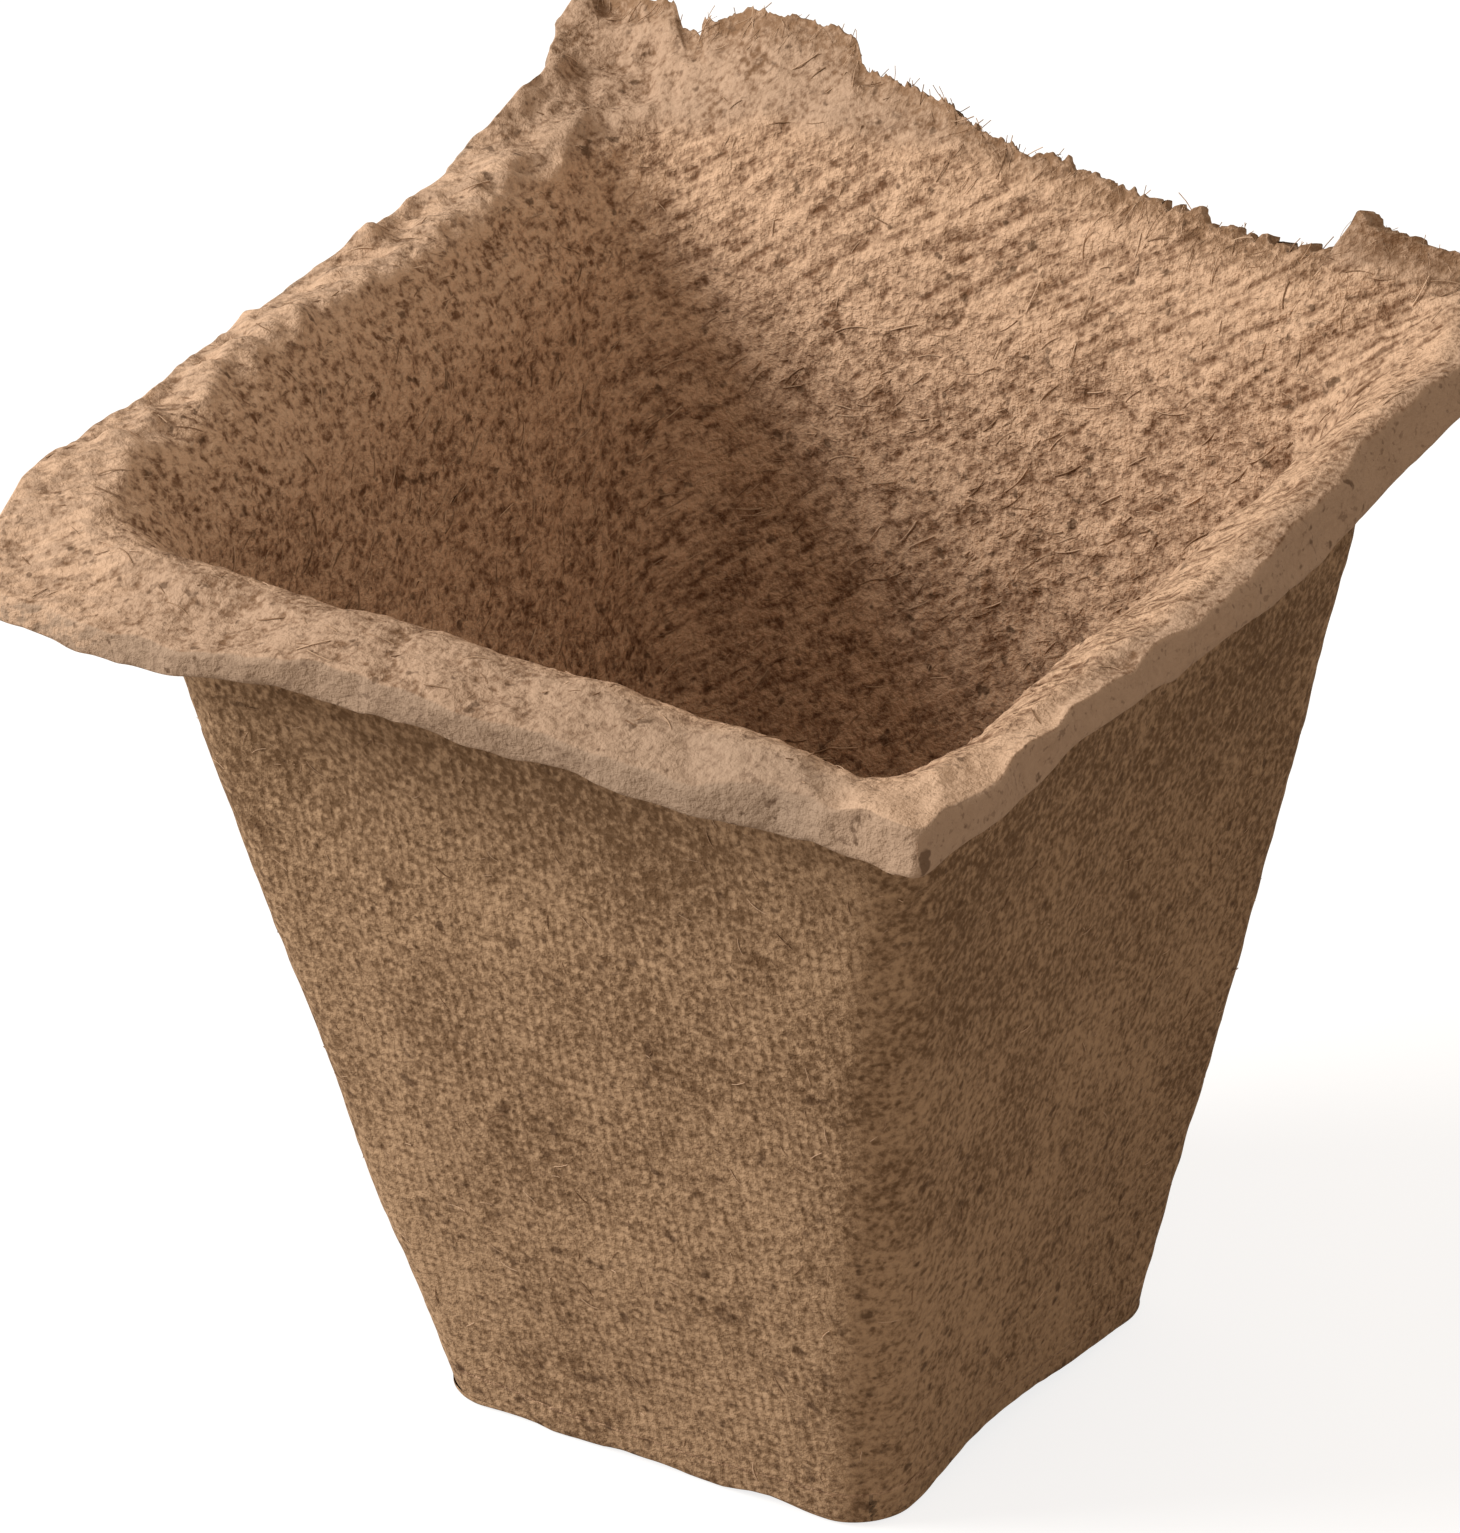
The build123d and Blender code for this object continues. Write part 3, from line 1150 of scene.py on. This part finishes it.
@dataclass(frozen=True)
class Value:
    """A number, place or colour in a node tree. Numbers take part in sums and products."""

    sheet: "NodeSheet"
    socket: Socket

    def join(self, operation: str, first: object, second: object) -> "Value":
        """Join two numbers by a math node."""
        return self.sheet.value("ShaderNodeMath", {0: first, 1: second}, operation=operation)

    def __add__(self, other: object) -> "Value":
        """The sum of two numbers."""
        return self.join("ADD", self, other)

    def __sub__(self, other: object) -> "Value":
        """The difference of two numbers."""
        return self.join("SUBTRACT", self, other)

    def __rsub__(self, other: float) -> "Value":
        """What is left of a plain number."""
        return self.join("SUBTRACT", other, self)

    def __mul__(self, other: object) -> "Value":
        """The product of two numbers."""
        return self.join("MULTIPLY", self, other)

    def sine(self) -> "Value":
        """The number's sine."""
        return self.join("SINE", self, 0.0)

    def span(self, start: float, end: float) -> "Value":
        """A soft step that is 0 where the number is at the start and 1 where it is at the end."""
        inputs = {0: self, 1: start, 2: end}
        return self.sheet.value("ShaderNodeMapRange", inputs, interpolation_type="SMOOTHSTEP")


@dataclass(frozen=True)
class NodeSheet:
    """A node tree, with short ways to add and join nodes."""

    tree: bpy.types.NodeTree

    @classmethod
    def cleared(cls, owner: bpy.types.ID) -> "NodeSheet":
        """The empty node tree of a new material or world.

        Args:
            owner: The material or world.

        Returns:
            Its tree.
        """
        owner.use_nodes = True
        owner.node_tree.nodes.clear()
        return cls(owner.node_tree)

    def add(self, kind: str, inputs: Inputs = None, **settings: object) -> bpy.types.Node:
        """Add a node.

        Args:
            kind: The node's type name.
            inputs: Plain values, or values of the tree, for its inputs, by name or number.
            settings: Properties of the node.

        Returns:
            The node.
        """
        node = self.tree.nodes.new(kind)
        for key, value in settings.items():
            setattr(node, key, value)
        for key, value in (inputs or {}).items():
            if isinstance(value, Value):
                self.tree.links.new(value.socket, node.inputs[key])
            else:
                node.inputs[key].default_value = value
        return node

    def value(self, kind: str, inputs: Inputs = None, output: str | int = 0,
              **settings: object) -> Value:
        """Add a node and give one of its outputs."""
        return Value(self, self.add(kind, inputs, **settings).outputs[output])

    def values(self, kind: str, inputs: Inputs = None) -> dict[str, Value]:
        """Add a node and give all its outputs by name."""
        return {socket.name: Value(self, socket) for socket in self.add(kind, inputs).outputs}

    def millimetres(self) -> Value:
        """Places on the piece in millimetres."""
        place = self.value("ShaderNodeTexCoord", output="Object")
        return self.value("ShaderNodeVectorMath", {0: place, "Scale": 1.0 / MM}, operation="SCALE")

    def stretched(self, place: Value, factors: Point) -> Value:
        """Places multiplied by a factor for each axis."""
        return self.value("ShaderNodeVectorMath", {0: place, 1: factors}, operation="MULTIPLY")

    def noise(self, place: Value, size: float, detail: float, rough: float = 0.55) -> Value:
        """Noise whose lumps have a size in millimetres."""
        inputs = {"Vector": place, "Scale": 1.0 / size, "Detail": detail, "Roughness": rough}
        return self.value("ShaderNodeTexNoise", inputs, "Fac")

    def field(self, name: str, output: str = "Fac") -> Value:
        """One of the piece's own attributes."""
        return self.value("ShaderNodeAttribute", output=output, attribute_name=name)

    def blend(self, share: Value, first: object, second: object) -> Value:
        """Mix two colours by a share."""
        return self.value("ShaderNodeMix", {0: share, 6: first, 7: second}, 2, data_type="RGBA")

    def coated(self, colour: Value, coats: tuple[tuple[Value, object], ...]) -> Value:
        """Lay coats over a colour.

        Args:
            colour: The ground.
            coats: Shares and colours, from the lowest coat to the highest.

        Returns:
            The colour on top.
        """
        for share, tint in coats:
            colour = self.blend(share, colour, tint)
        return colour

    def matt(self, colour: Value, roughness: float, specular: float, **more: Value) -> None:
        """End the tree in a matt surface of a colour."""
        inputs = {"Base Color": colour, "Roughness": roughness, "Specular IOR Level": specular, **more}
        self.add("ShaderNodeOutputMaterial", {"Surface": self.value("ShaderNodeBsdfPrincipled", inputs)})


class FibreLayers:
    """What the moulded finish is mixed from: the piece's own fields, and noise of several sizes."""

    def __init__(self, sheet: NodeSheet, strand_turn: Point, screen_pitch: float) -> None:
        """Lay the layers.

        Args:
            sheet: The finish's node tree.
            strand_turn: Turns of the strands about X, Y and Z, in degrees.
            screen_pitch: Width of the forming screen's meshes in millimetres.
        """
        self.sheet, mm = sheet, sheet.millimetres()
        place = sheet.values("ShaderNodeSeparateXYZ", {0: mm})
        spot = sheet.values("ShaderNodeSeparateXYZ", {0: sheet.field("print_place", "Vector")})
        self.across, self.along, self.level = place["X"], place["Y"], spot["Y"]
        self.inside, self.lip, self.tear, self.relief = map(sheet.field, ("inside", "lip", "tear", "relief"))
        self.outside = (1.0 - self.inside) * (1.0 - self.lip)
        pace = 2.0 * math.pi / screen_pitch
        self.screen = ((spot["X"] * pace).sine() + (spot["Y"] * pace).sine()) * 0.5
        rotation = [math.radians(turn) for turn in strand_turn]
        turned = sheet.value("ShaderNodeMapping", {"Vector": mm, "Rotation": rotation})
        self.broad = sheet.noise(mm, 9.0, 2.0)
        self.patch = sheet.noise(mm, 2.4, 3.0, 0.6)
        self.speck = sheet.noise(mm, 1.0, 2.0, 0.5)
        self.grain = sheet.noise(mm, 0.44, 3.0, 0.65)
        self.fleck = sheet.noise(sheet.stretched(mm, (1.0, 1.0, 0.85)), 0.36, 2.0, 0.5)
        self.strand = sheet.noise(sheet.stretched(turned, (0.16, 1.0, 1.0)), 0.50, 3.0, 0.6)
        self.pit = sheet.noise(sheet.stretched(turned, (0.5, 1.0, 1.0)), 0.36, 2.0, 0.5)


@dataclass(frozen=True)
class MouldedFibre:
    """Pressed peat and wood fibre: printed by the forming screen outside, streaky inside, pale on the lip."""

    name: str = "moulded_fibre"
    outer_dark: Colour = (0.150, 0.087, 0.045, 1.0)
    outer_light: Colour = (0.432, 0.290, 0.178, 1.0)
    inner_dark: Colour = (0.160, 0.080, 0.041, 1.0)
    inner_light: Colour = (0.650, 0.440, 0.292, 1.0)
    lip_dark: Colour = (0.190, 0.108, 0.060, 1.0)
    lip_light: Colour = (0.478, 0.331, 0.229, 1.0)
    # Grey of the lip's edge, partly the edge's own tone and partly painted shade on the lip's underside and
    # outer edge.
    edge_grey: Colour = (0.330, 0.242, 0.175, 1.0)
    # Pale tan laid as painted light on lit parts of the lip and rim.
    rubbed: Colour = (0.680, 0.470, 0.320, 1.0)
    speck: Colour = (0.085, 0.045, 0.023, 1.0)
    torn: Colour = (0.260, 0.155, 0.088, 1.0)
    strand_turn: Point = (0.0, 32.0, -19.0)
    screen_pitch: float = 0.62
    bump_height: float = 0.55
    roughness: float = 0.95
    specular: float = 0.12

    def material(self) -> Finish:
        """Build the finish's nodes.

        Returns:
            The material.
        """
        made = bpy.data.materials.new(self.name)
        sheet = NodeSheet.cleared(made)
        at = FibreLayers(sheet, self.strand_turn, self.screen_pitch)
        # Painted light: a pale coat, streaked along the strands, on the left lip's top and on the back rim
        # from the middle rightwards.
        rubbed = at.across.span(-18.0, -23.0) * at.level.span(47.0, 52.0) * at.along.span(24.0, 16.0)
        rubbed = rubbed + at.along.span(20.0, 26.0) * at.across.span(-14.0, 6.0) * 0.6
        painted_light_coats = ((rubbed * at.strand.span(0.42, 0.60) * 0.6, self.rubbed),)
        outer, inner = self.faces(at)
        inner, rim = sheet.coated(inner, painted_light_coats), sheet.coated(self.rim(at), painted_light_coats)
        colour = sheet.coated(outer, ((at.inside, inner), (at.lip, rim), *self.marks(at)))
        bump = sheet.value("ShaderNodeBump", {
            "Strength": 1.0, "Distance": self.bump_height * MM, "Height": self.bump(at),
        })
        sheet.matt(colour, self.roughness, self.specular, Normal=bump)
        return made

    def faces(self, at: FibreLayers) -> tuple[Value, Value]:
        """Colours of the outer face, with painted shade that darkens it towards the lip, and of the inner
        one, with its strands.

        Args:
            at: The layers.

        Returns:
            The two colours.
        """
        outer = at.grain * 0.55 + at.fleck * 0.45 + (at.patch - 0.5) * 0.15 + at.screen * 0.012
        # Painted shade: the outer face is made darker the higher it stands, towards the shade under the lip.
        outer = outer + (at.broad - 0.5) * 0.24 - at.level.span(6.0, 50.0) * 0.06
        inner = at.strand * 0.55 + at.grain * 0.45 + at.relief * 0.06
        inner = inner + (at.fleck - 0.5) * 0.25 + (at.patch - 0.5) * 0.19
        return (
            at.sheet.blend(outer.span(0.31, 0.62), self.outer_dark, self.outer_light),
            at.sheet.blend(inner.span(0.31, 0.62), self.inner_dark, self.inner_light),
        )

    def rim(self, at: FibreLayers) -> Value:
        """Colour of the lip, with painted shade greying its underside, its edge and the front's outer part
        near the right corner, less of it on the right's shaded edge, and painted light on the right's top
        near the front corner.

        Args:
            at: The layers.

        Returns:
            The colour.
        """
        mix = at.grain * 0.40 + at.patch * 0.25 + at.fleck * 0.35 + at.relief * 0.08
        # Painted shade: the front lip's outer part, from the middle to the right corner, is greyed like its
        # shaded edge band.
        front_end_painted_shade = at.across.span(-2.0, 18.0) * at.along.span(-22.5, -25.5)
        # On the right lip's outer edge, which the lamp leaves in shade, half of the edge's painted shade is
        # taken back with the lip's pale colour.
        shaded_edge = at.across.span(20.0, 26.0) * at.inside.span(0.95, 0.84)
        # Painted light: the right lip's top near the front corner is made paler.
        near_end_painted_light = at.across.span(21.0, 25.0) * at.along.span(-10.0, -19.0) * at.inside.span(0.90, 0.97)
        return at.sheet.coated(at.sheet.blend(mix.span(0.35, 0.57), self.lip_dark, self.lip_light), (
            # Painted shade: the lip's underside and outer edge are greyed and darkened.
            (at.inside.span(0.93, 0.80) * 0.7, self.edge_grey),
            (front_end_painted_shade * 0.5, self.edge_grey),
            (shaded_edge * 0.5, self.lip_light),
            (near_end_painted_light * 0.65, self.rubbed),
        ))

    def marks(self, at: FibreLayers) -> tuple[tuple[Value, Colour], ...]:
        """The torn edge's tone, specks, dents low on the outside, and pits, as coats from the lowest up.

        Args:
            at: The layers.

        Returns:
            The coats.
        """
        dents = at.speck.span(0.58, 0.68) * at.level.span(34.0, 10.0) * (at.outside * 0.40)
        pits = at.pit.span(0.59, 0.68) * (at.patch.span(0.62, 0.40) * 0.28 + 0.14)
        return (
            (at.tear * at.grain.span(0.75, 0.35), self.torn),
            (at.speck.span(0.65, 0.73) * 0.7, self.speck),
            (dents, self.speck),
            (pits, self.speck),
        )

    def bump(self, at: FibreLayers) -> Value:
        """Fine relief of grain and strands, softer on the lip and outside, with the screen's print."""
        printed = at.screen * (at.outside * at.patch.span(0.30, 0.62))
        return (at.grain * 0.7 + at.strand * 0.2 + printed * 0.12) * (1.0 - at.lip * 0.45 - at.outside * 0.35)


@dataclass(frozen=True)
class FibreTone:
    """Single fibres, each with its own tone from dark bark to bleached wood."""

    name: str = "loose_fibre"
    dark: Colour = (0.240, 0.142, 0.080, 1.0)
    light: Colour = (0.600, 0.420, 0.285, 1.0)
    roughness: float = 0.85
    specular: float = 0.15

    def material(self) -> Finish:
        """Build the finish's nodes.

        Returns:
            The material.
        """
        made = bpy.data.materials.new(self.name)
        sheet = NodeSheet.cleared(made)
        patchy = sheet.field(TONE_FIELD) + sheet.noise(sheet.millimetres(), 0.6, 1.0) * 0.3
        sheet.matt(sheet.blend(patchy.span(0.15, 1.15), self.dark, self.light), self.roughness, self.specular)
        return made


@dataclass(frozen=True)
class LooseFibres:
    """Fibres that lie loose on a skin or stand out of a torn edge, laid by a node tree.

    Lengths are millimetres, the density counts fibres on a square millimetre, and angles are degrees.
    """

    name: str
    slot: Slot
    density: float
    shortest: float
    longest: float
    girth_share: float
    spread: float
    tilt: float
    along: Point
    seed: int

    def inputs(self) -> dict[str, float | int]:
        """The node tree's named inputs, in metres and radians."""
        return {
            "Density": self.density / MM ** 2,
            "Shortest": self.shortest * MM,
            "Longest": self.longest * MM,
            "Girth share": self.girth_share,
            "Spread": math.radians(self.spread),
            "Tilt": math.radians(self.tilt),
            "Seed": self.seed,
        }

    def tree(self, finish: Finish) -> bpy.types.GeometryNodeTree:
        """Build the node tree that lays the fibres.

        Args:
            finish: The fibres' material.

        Returns:
            The tree, with named inputs for its sizes.
        """
        made = bpy.data.node_groups.new(self.name, "GeometryNodeTree")
        made.interface.new_socket("Geometry", in_out="INPUT", socket_type="NodeSocketGeometry")
        for name in self.inputs():
            kind = "NodeSocketInt" if name == "Seed" else "NodeSocketFloat"
            made.interface.new_socket(name, in_out="INPUT", socket_type=kind)
        made.interface.new_socket("Geometry", in_out="OUTPUT", socket_type="NodeSocketGeometry")
        sheet = NodeSheet(made)
        given = sheet.values("NodeGroupInput")

        def random(draw: int, low: object, high: object) -> Value:
            """One random number for each fibre, by a draw of its own."""
            inputs = {2: low, 3: high, 8: given["Seed"] + float(draw)}
            return sheet.value("FunctionNodeRandomValue", inputs, 1, data_type="FLOAT")

        where = sheet.value("GeometryNodeInputNamedAttribute", {
            "Name": WHERE_FIELD,
        }, "Attribute", data_type="FLOAT")
        scattered = sheet.values("GeometryNodeDistributePointsOnFaces", {
            "Mesh": given["Geometry"], "Density": where * given["Density"], "Seed": given["Seed"],
        })
        bow = sheet.value("GeometryNodeCurveQuadraticBezier", {
            "Resolution": 4,
            "Start": (-0.5, 0.0, -0.03),
            "Middle": (0.0, 0.11, 0.07),
            "End": (0.5, -0.05, 0.0),
        })
        section = sheet.value("GeometryNodeCurvePrimitiveCircle", {
            "Resolution": 3, "Radius": given["Girth share"],
        }, "Curve")
        strand = sheet.value("GeometryNodeCurveToMesh", {
            "Curve": bow, "Profile Curve": section, "Fill Caps": True,
        })
        aligned = sheet.value("FunctionNodeAlignRotationToVector", {
            "Rotation": scattered["Rotation"], "Vector": self.along,
        }, axis="X", pivot_axis="Z")
        spin = random(1, given["Spread"] * -1.0, given["Spread"])
        tilt = random(2, given["Tilt"] * -1.0, given["Tilt"])
        roll = random(3, -math.pi, math.pi)
        angles = sheet.value("ShaderNodeCombineXYZ", {"X": roll, "Y": tilt, "Z": spin})
        turn = sheet.value("FunctionNodeEulerToRotation", {0: angles})
        turned = sheet.value("FunctionNodeRotateRotation", {0: aligned, 1: turn}, rotation_space="LOCAL")
        laid = sheet.value("GeometryNodeInstanceOnPoints", {
            "Points": scattered["Points"], "Instance": strand, "Rotation": turned,
            "Scale": random(4, given["Shortest"], given["Longest"]),
        })
        toned = sheet.value("GeometryNodeStoreNamedAttribute", {
            "Geometry": laid, "Name": TONE_FIELD, "Value": random(5, 0.0, 1.0),
        }, data_type="FLOAT", domain="INSTANCE")
        real = sheet.value("GeometryNodeRealizeInstances", {0: toned})
        dressed = sheet.value("GeometryNodeSetMaterial", {"Geometry": real, "Material": finish})
        sheet.add("NodeGroupOutput", {0: dressed})
        return made

    def lay(self, emitter: Piece, finish: Finish) -> Piece:
        """Lay the fibres over an emitter and keep only them.

        Args:
            emitter: Mesh whose points hold how dense the fibres lie.
            finish: The fibres' material.

        Returns:
            The fibres as one plain mesh object.
        """
        modifier = emitter.modifiers.new(self.name, "NODES")
        modifier.node_group = self.tree(finish)
        values = self.inputs()
        for item in modifier.node_group.interface.items_tree:
            if item.in_out == "INPUT" and item.name in values:
                modifier[item.identifier] = values[item.name]
        graph = bpy.context.evaluated_depsgraph_get()
        mesh = bpy.data.meshes.new_from_object(emitter.evaluated_get(graph), depsgraph=graph)
        emitter.modifiers.remove(modifier)
        bpy.data.objects.remove(emitter)
        mesh.name = self.name
        return into_scene(self.name, mesh)


@dataclass
class FibreCoat:
    """All the loose fibres of the pot."""

    skin: PotSkin
    cell: int = 90
    torn_depth: float = 2.4
    torn_rows: int = 24
    upright: Point = (0.0, 0.0, 1.0)
    up_and_back: Point = (0.0, 0.55, 0.83)

    def emitter(self, sheets: list[tuple[Sheet, Number]]) -> Piece:
        """Make a mesh for fibres to lie on.

        Args:
            sheets: Rows of points, each with how dense the fibres lie on them.

        Returns:
            The mesh object.
        """
        points, faces, where, at = [], [], [], 0
        for rows, dense in sheets:
            done = self.skin.finish(rows)[0]
            cells = grid_faces(*done.shape[:2]) + at
            faces.append(cells[:, ::-1] if rows.inside.mean() > 0.5 else cells)
            points.append(done.reshape(-1, 3))
            where.append(np.broadcast_to(dense, done.shape[:2]).ravel())
            at += len(points[-1])
        every = np.concatenate(faces)
        flat = np.zeros(len(every), dtype=bool)
        fields = {WHERE_FIELD: np.concatenate(where)}
        return mesh_object("fibre_ground", np.concatenate(points), every, flat, fields)

    def walls(self, inner: bool) -> list[tuple[Sheet, Number]]:
        """The walls' inner or outer faces, evenly covered."""
        levels = np.linspace(self.skin.form.floor_top, self.skin.form.wall_top, self.cell + 1)
        return [(self.skin.wall(side, levels, self.cell, inner), 1.0) for side in Side]

    def lips(self) -> list[tuple[Sheet, Number]]:
        """The lips' upper faces, evenly covered, with the torn strip's inner face."""
        climb, share = up_rows(self.cell // 2 - 1), along_side(self.cell)
        return [(self.skin.lip_face(s, climb * self.skin.rim_reach(s, share), True), 1.0) for s in Side]

    def torn_edge(self) -> list[tuple[Sheet, Number]]:
        """The torn strip's edge zone, densest at the edge itself.

        Returns:
            The rows with how dense the fibres lie on them.
        """
        reach = self.skin.rim_reach(Side.BACK, along_side(4 * self.cell), torn=True)
        runs = reach - np.linspace(self.torn_depth, 0.0, self.torn_rows)[:, None]
        near = ease(1.0 - (reach - runs) / self.torn_depth) ** 2
        return [(self.skin.lip_face(Side.BACK, runs, inner, near), near) for inner in (True, False)]

    def build(self, finish: Finish) -> list[tuple[Piece, Slot]]:
        """Lay every set of fibres.

        Args:
            finish: The fibres' material.

        Returns:
            The fibre objects with their slots.
        """
        drawn, upright, torn = STREAK_DIRECTION, self.upright, self.up_and_back
        # Name, slot, density, shortest, longest, girth share, spread, tilt, direction, seed, and the ground
        plan = (
            (("inner_fibres", Slot.WALL, 0.40, 0.7, 2.1, 0.024, 26.0, 5.0, drawn, 11), self.walls(True)),
            (("outer_fibres", Slot.WALL, 0.10, 0.5, 1.4, 0.024, 90.0, 3.0, upright, 23), self.walls(False)),
            (("lip_fibres", Slot.LIP, 0.20, 0.6, 1.8, 0.024, 60.0, 6.0, drawn, 37), self.lips()),
            (("torn_fibres", Slot.TORN, 2.4, 0.6, 2.4, 0.013, 50.0, 38.0, torn, 53), self.torn_edge()),
        )
        laid = ((LooseFibres(*values), ground) for values, ground in plan)
        return [(fibres.lay(self.emitter(ground), finish), fibres.slot) for fibres, ground in laid]


@dataclass(frozen=True)
class Viewpoint:
    """The photograph's viewing angle, fitted on the pot's corners, in degrees and millimetres."""

    azimuth: float = 34.4
    elevation: float = 29.5
    roll: float = -2.4
    distance: float = 528.0
    aim_level: float = 27.8
    aim_right: float = -2.40
    aim_up: float = 7.00
    sensor: float = 36.0
    focal_share: float = 10000.0 / 1460.0

    def camera(self) -> None:
        """Make the scene's camera."""
        az, el, roll = (math.radians(v) for v in (self.azimuth, self.elevation, self.roll))
        back = Vector((math.sin(az) * math.cos(el), -math.cos(az) * math.cos(el), math.sin(el)))
        right = (-back).cross(Vector((0.0, 0.0, 1.0))).normalized()
        up = right.cross(-back)
        aim = Vector((0.0, 0.0, self.aim_level)) + self.aim_right * right + self.aim_up * up
        side = math.cos(roll) * right + math.sin(roll) * up
        above = -math.sin(roll) * right + math.cos(roll) * up
        turn = Matrix((side, above, back)).transposed().to_4x4()
        data = bpy.data.cameras.new("camera")
        data.sensor_fit = "HORIZONTAL"
        data.sensor_width = self.sensor
        data.lens = self.sensor * self.focal_share
        data.clip_start = 0.01
        data.clip_end = 50.0
        made = into_scene("camera", data)
        made.matrix_world = Matrix.Translation((aim + back * self.distance) * MM) @ turn
        bpy.context.scene.camera = made


@dataclass(frozen=True)
class Studio:
    """A pale floor, one soft lamp and a plain world, in metres and watts."""

    floor_half: float = 2.0
    floor_colour: Colour = (0.48, 0.43, 0.385, 1.0)
    shown_diffuse: Colour = (0.30, 0.30, 0.30, 1.0)
    shown_glow: float = 0.80
    world_tint: Colour = (1.0, 0.84, 0.69, 1.0)
    world_strength: float = 0.58
    lamp_place: Point = (-0.70, -0.51, 0.52)
    lamp_size: float = 0.46
    lamp_power: float = 10.7
    lamp_tint: Point = (1.0, 0.985, 0.965)

    def seen(self, sheet: NodeSheet, hidden: Value, shown: Value) -> Value:
        """Mix two shaders by the kind of ray.

        Args:
            sheet: The node tree.
            hidden: The shader that works on the light.
            shown: The shader that is seen: from the camera, in gloss and through glass.

        Returns:
            The mixed shader.
        """
        rays = sheet.values("ShaderNodeLightPath")
        share = rays["Is Camera Ray"]
        for kind in ("Is Glossy Ray", "Is Transmission Ray"):
            share = share.join("MAXIMUM", share, rays[kind])
        return sheet.value("ShaderNodeMixShader", {0: share, 1: hidden, 2: shown})

    def floor(self) -> None:
        """Make the floor, white to the eye and plain grey to the light."""
        half = self.floor_half
        mesh = bpy.data.meshes.new("floor")
        corners = [(-half, -half, 0), (half, -half, 0), (half, half, 0), (-half, half, 0)]
        mesh.from_pydata(corners, [], [(0, 1, 2, 3)])
        finish = bpy.data.materials.new("pale_floor")
        sheet = NodeSheet.cleared(finish)
        plain = sheet.value("ShaderNodeBsdfDiffuse", {"Color": self.floor_colour})
        shade = sheet.value("ShaderNodeBsdfDiffuse", {"Color": self.shown_diffuse})
        glow = sheet.value("ShaderNodeEmission", {"Color": WHITE, "Strength": self.shown_glow})
        shown = sheet.value("ShaderNodeAddShader", {0: shade, 1: glow})
        sheet.add("ShaderNodeOutputMaterial", {"Surface": self.seen(sheet, plain, shown)})
        mesh.materials.append(finish)
        made = into_scene("floor", mesh)

    def world(self) -> None:
        """Make the world, white to the eye and a warm dim glow to the light."""
        made = bpy.data.worlds.new("studio")
        sheet = NodeSheet.cleared(made)
        glow, white = (
            sheet.value("ShaderNodeBackground", {"Color": tint, "Strength": strength})
            for tint, strength in ((self.world_tint, self.world_strength), (WHITE, 1.0))
        )
        sheet.add("ShaderNodeOutputWorld", {"Surface": self.seen(sheet, glow, white)})
        bpy.context.scene.world = made

    def lamp(self) -> None:
        """Make the lamp and turn it to the pot."""
        data = bpy.data.lights.new("key_lamp", "AREA")
        data.shape = "DISK"
        data.size = self.lamp_size
        data.energy = self.lamp_power
        data.color = self.lamp_tint
        made = into_scene("key_lamp", data)
        target = (CAD_BOX[0] + CAD_BOX[1]) / 2.0
        made.location = self.lamp_place
        made.rotation_euler = (target - Vector(self.lamp_place)).to_track_quat("-Z", "Y").to_euler()

    def build(self) -> None:
        """Set the stage."""
        self.floor()
        self.world()
        self.lamp()
        Viewpoint().camera()
        bpy.context.scene.view_settings.view_transform = "Standard"


def attach(piece: Piece, finish: Finish) -> None:
    """Finish a piece, hang it on the pot's one body and hide its node's part, which the piece shows in its
    place.

    Args:
        piece: The piece, named after its node.
        finish: Its material.
    """
    piece.data.materials.append(finish)
    node = piece.name.removesuffix("_fibre")
    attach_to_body(piece, "root")
    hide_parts(node)
    LOG.info("%s: %d faces", piece.name, len(piece.data.polygons))


def main() -> None:
    """Build the pot's sub-assemblies in order, then the studio."""
    logging.basicConfig(level=logging.INFO, format="%(name)s %(message)s")
    skin = PotSkin(PotForm.from_frame())
    finish = MouldedFibre().material()
    parts = (Walls(skin), Lips(skin), TornStrip(skin), Base(skin))
    pieces = [piece for part in parts for piece in part.build()]
    soften_joins(pieces, JOIN_RADIUS * MM)
    for piece in pieces:
        attach(piece, finish)
    for fibres, slot in FibreCoat(skin).build(FibreTone().material()):
        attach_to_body(fibres, "root")
        LOG.info("%s: %d faces", fibres.name, len(fibres.data.polygons))
    Studio().build()


if __name__ == "__main__":
    main()
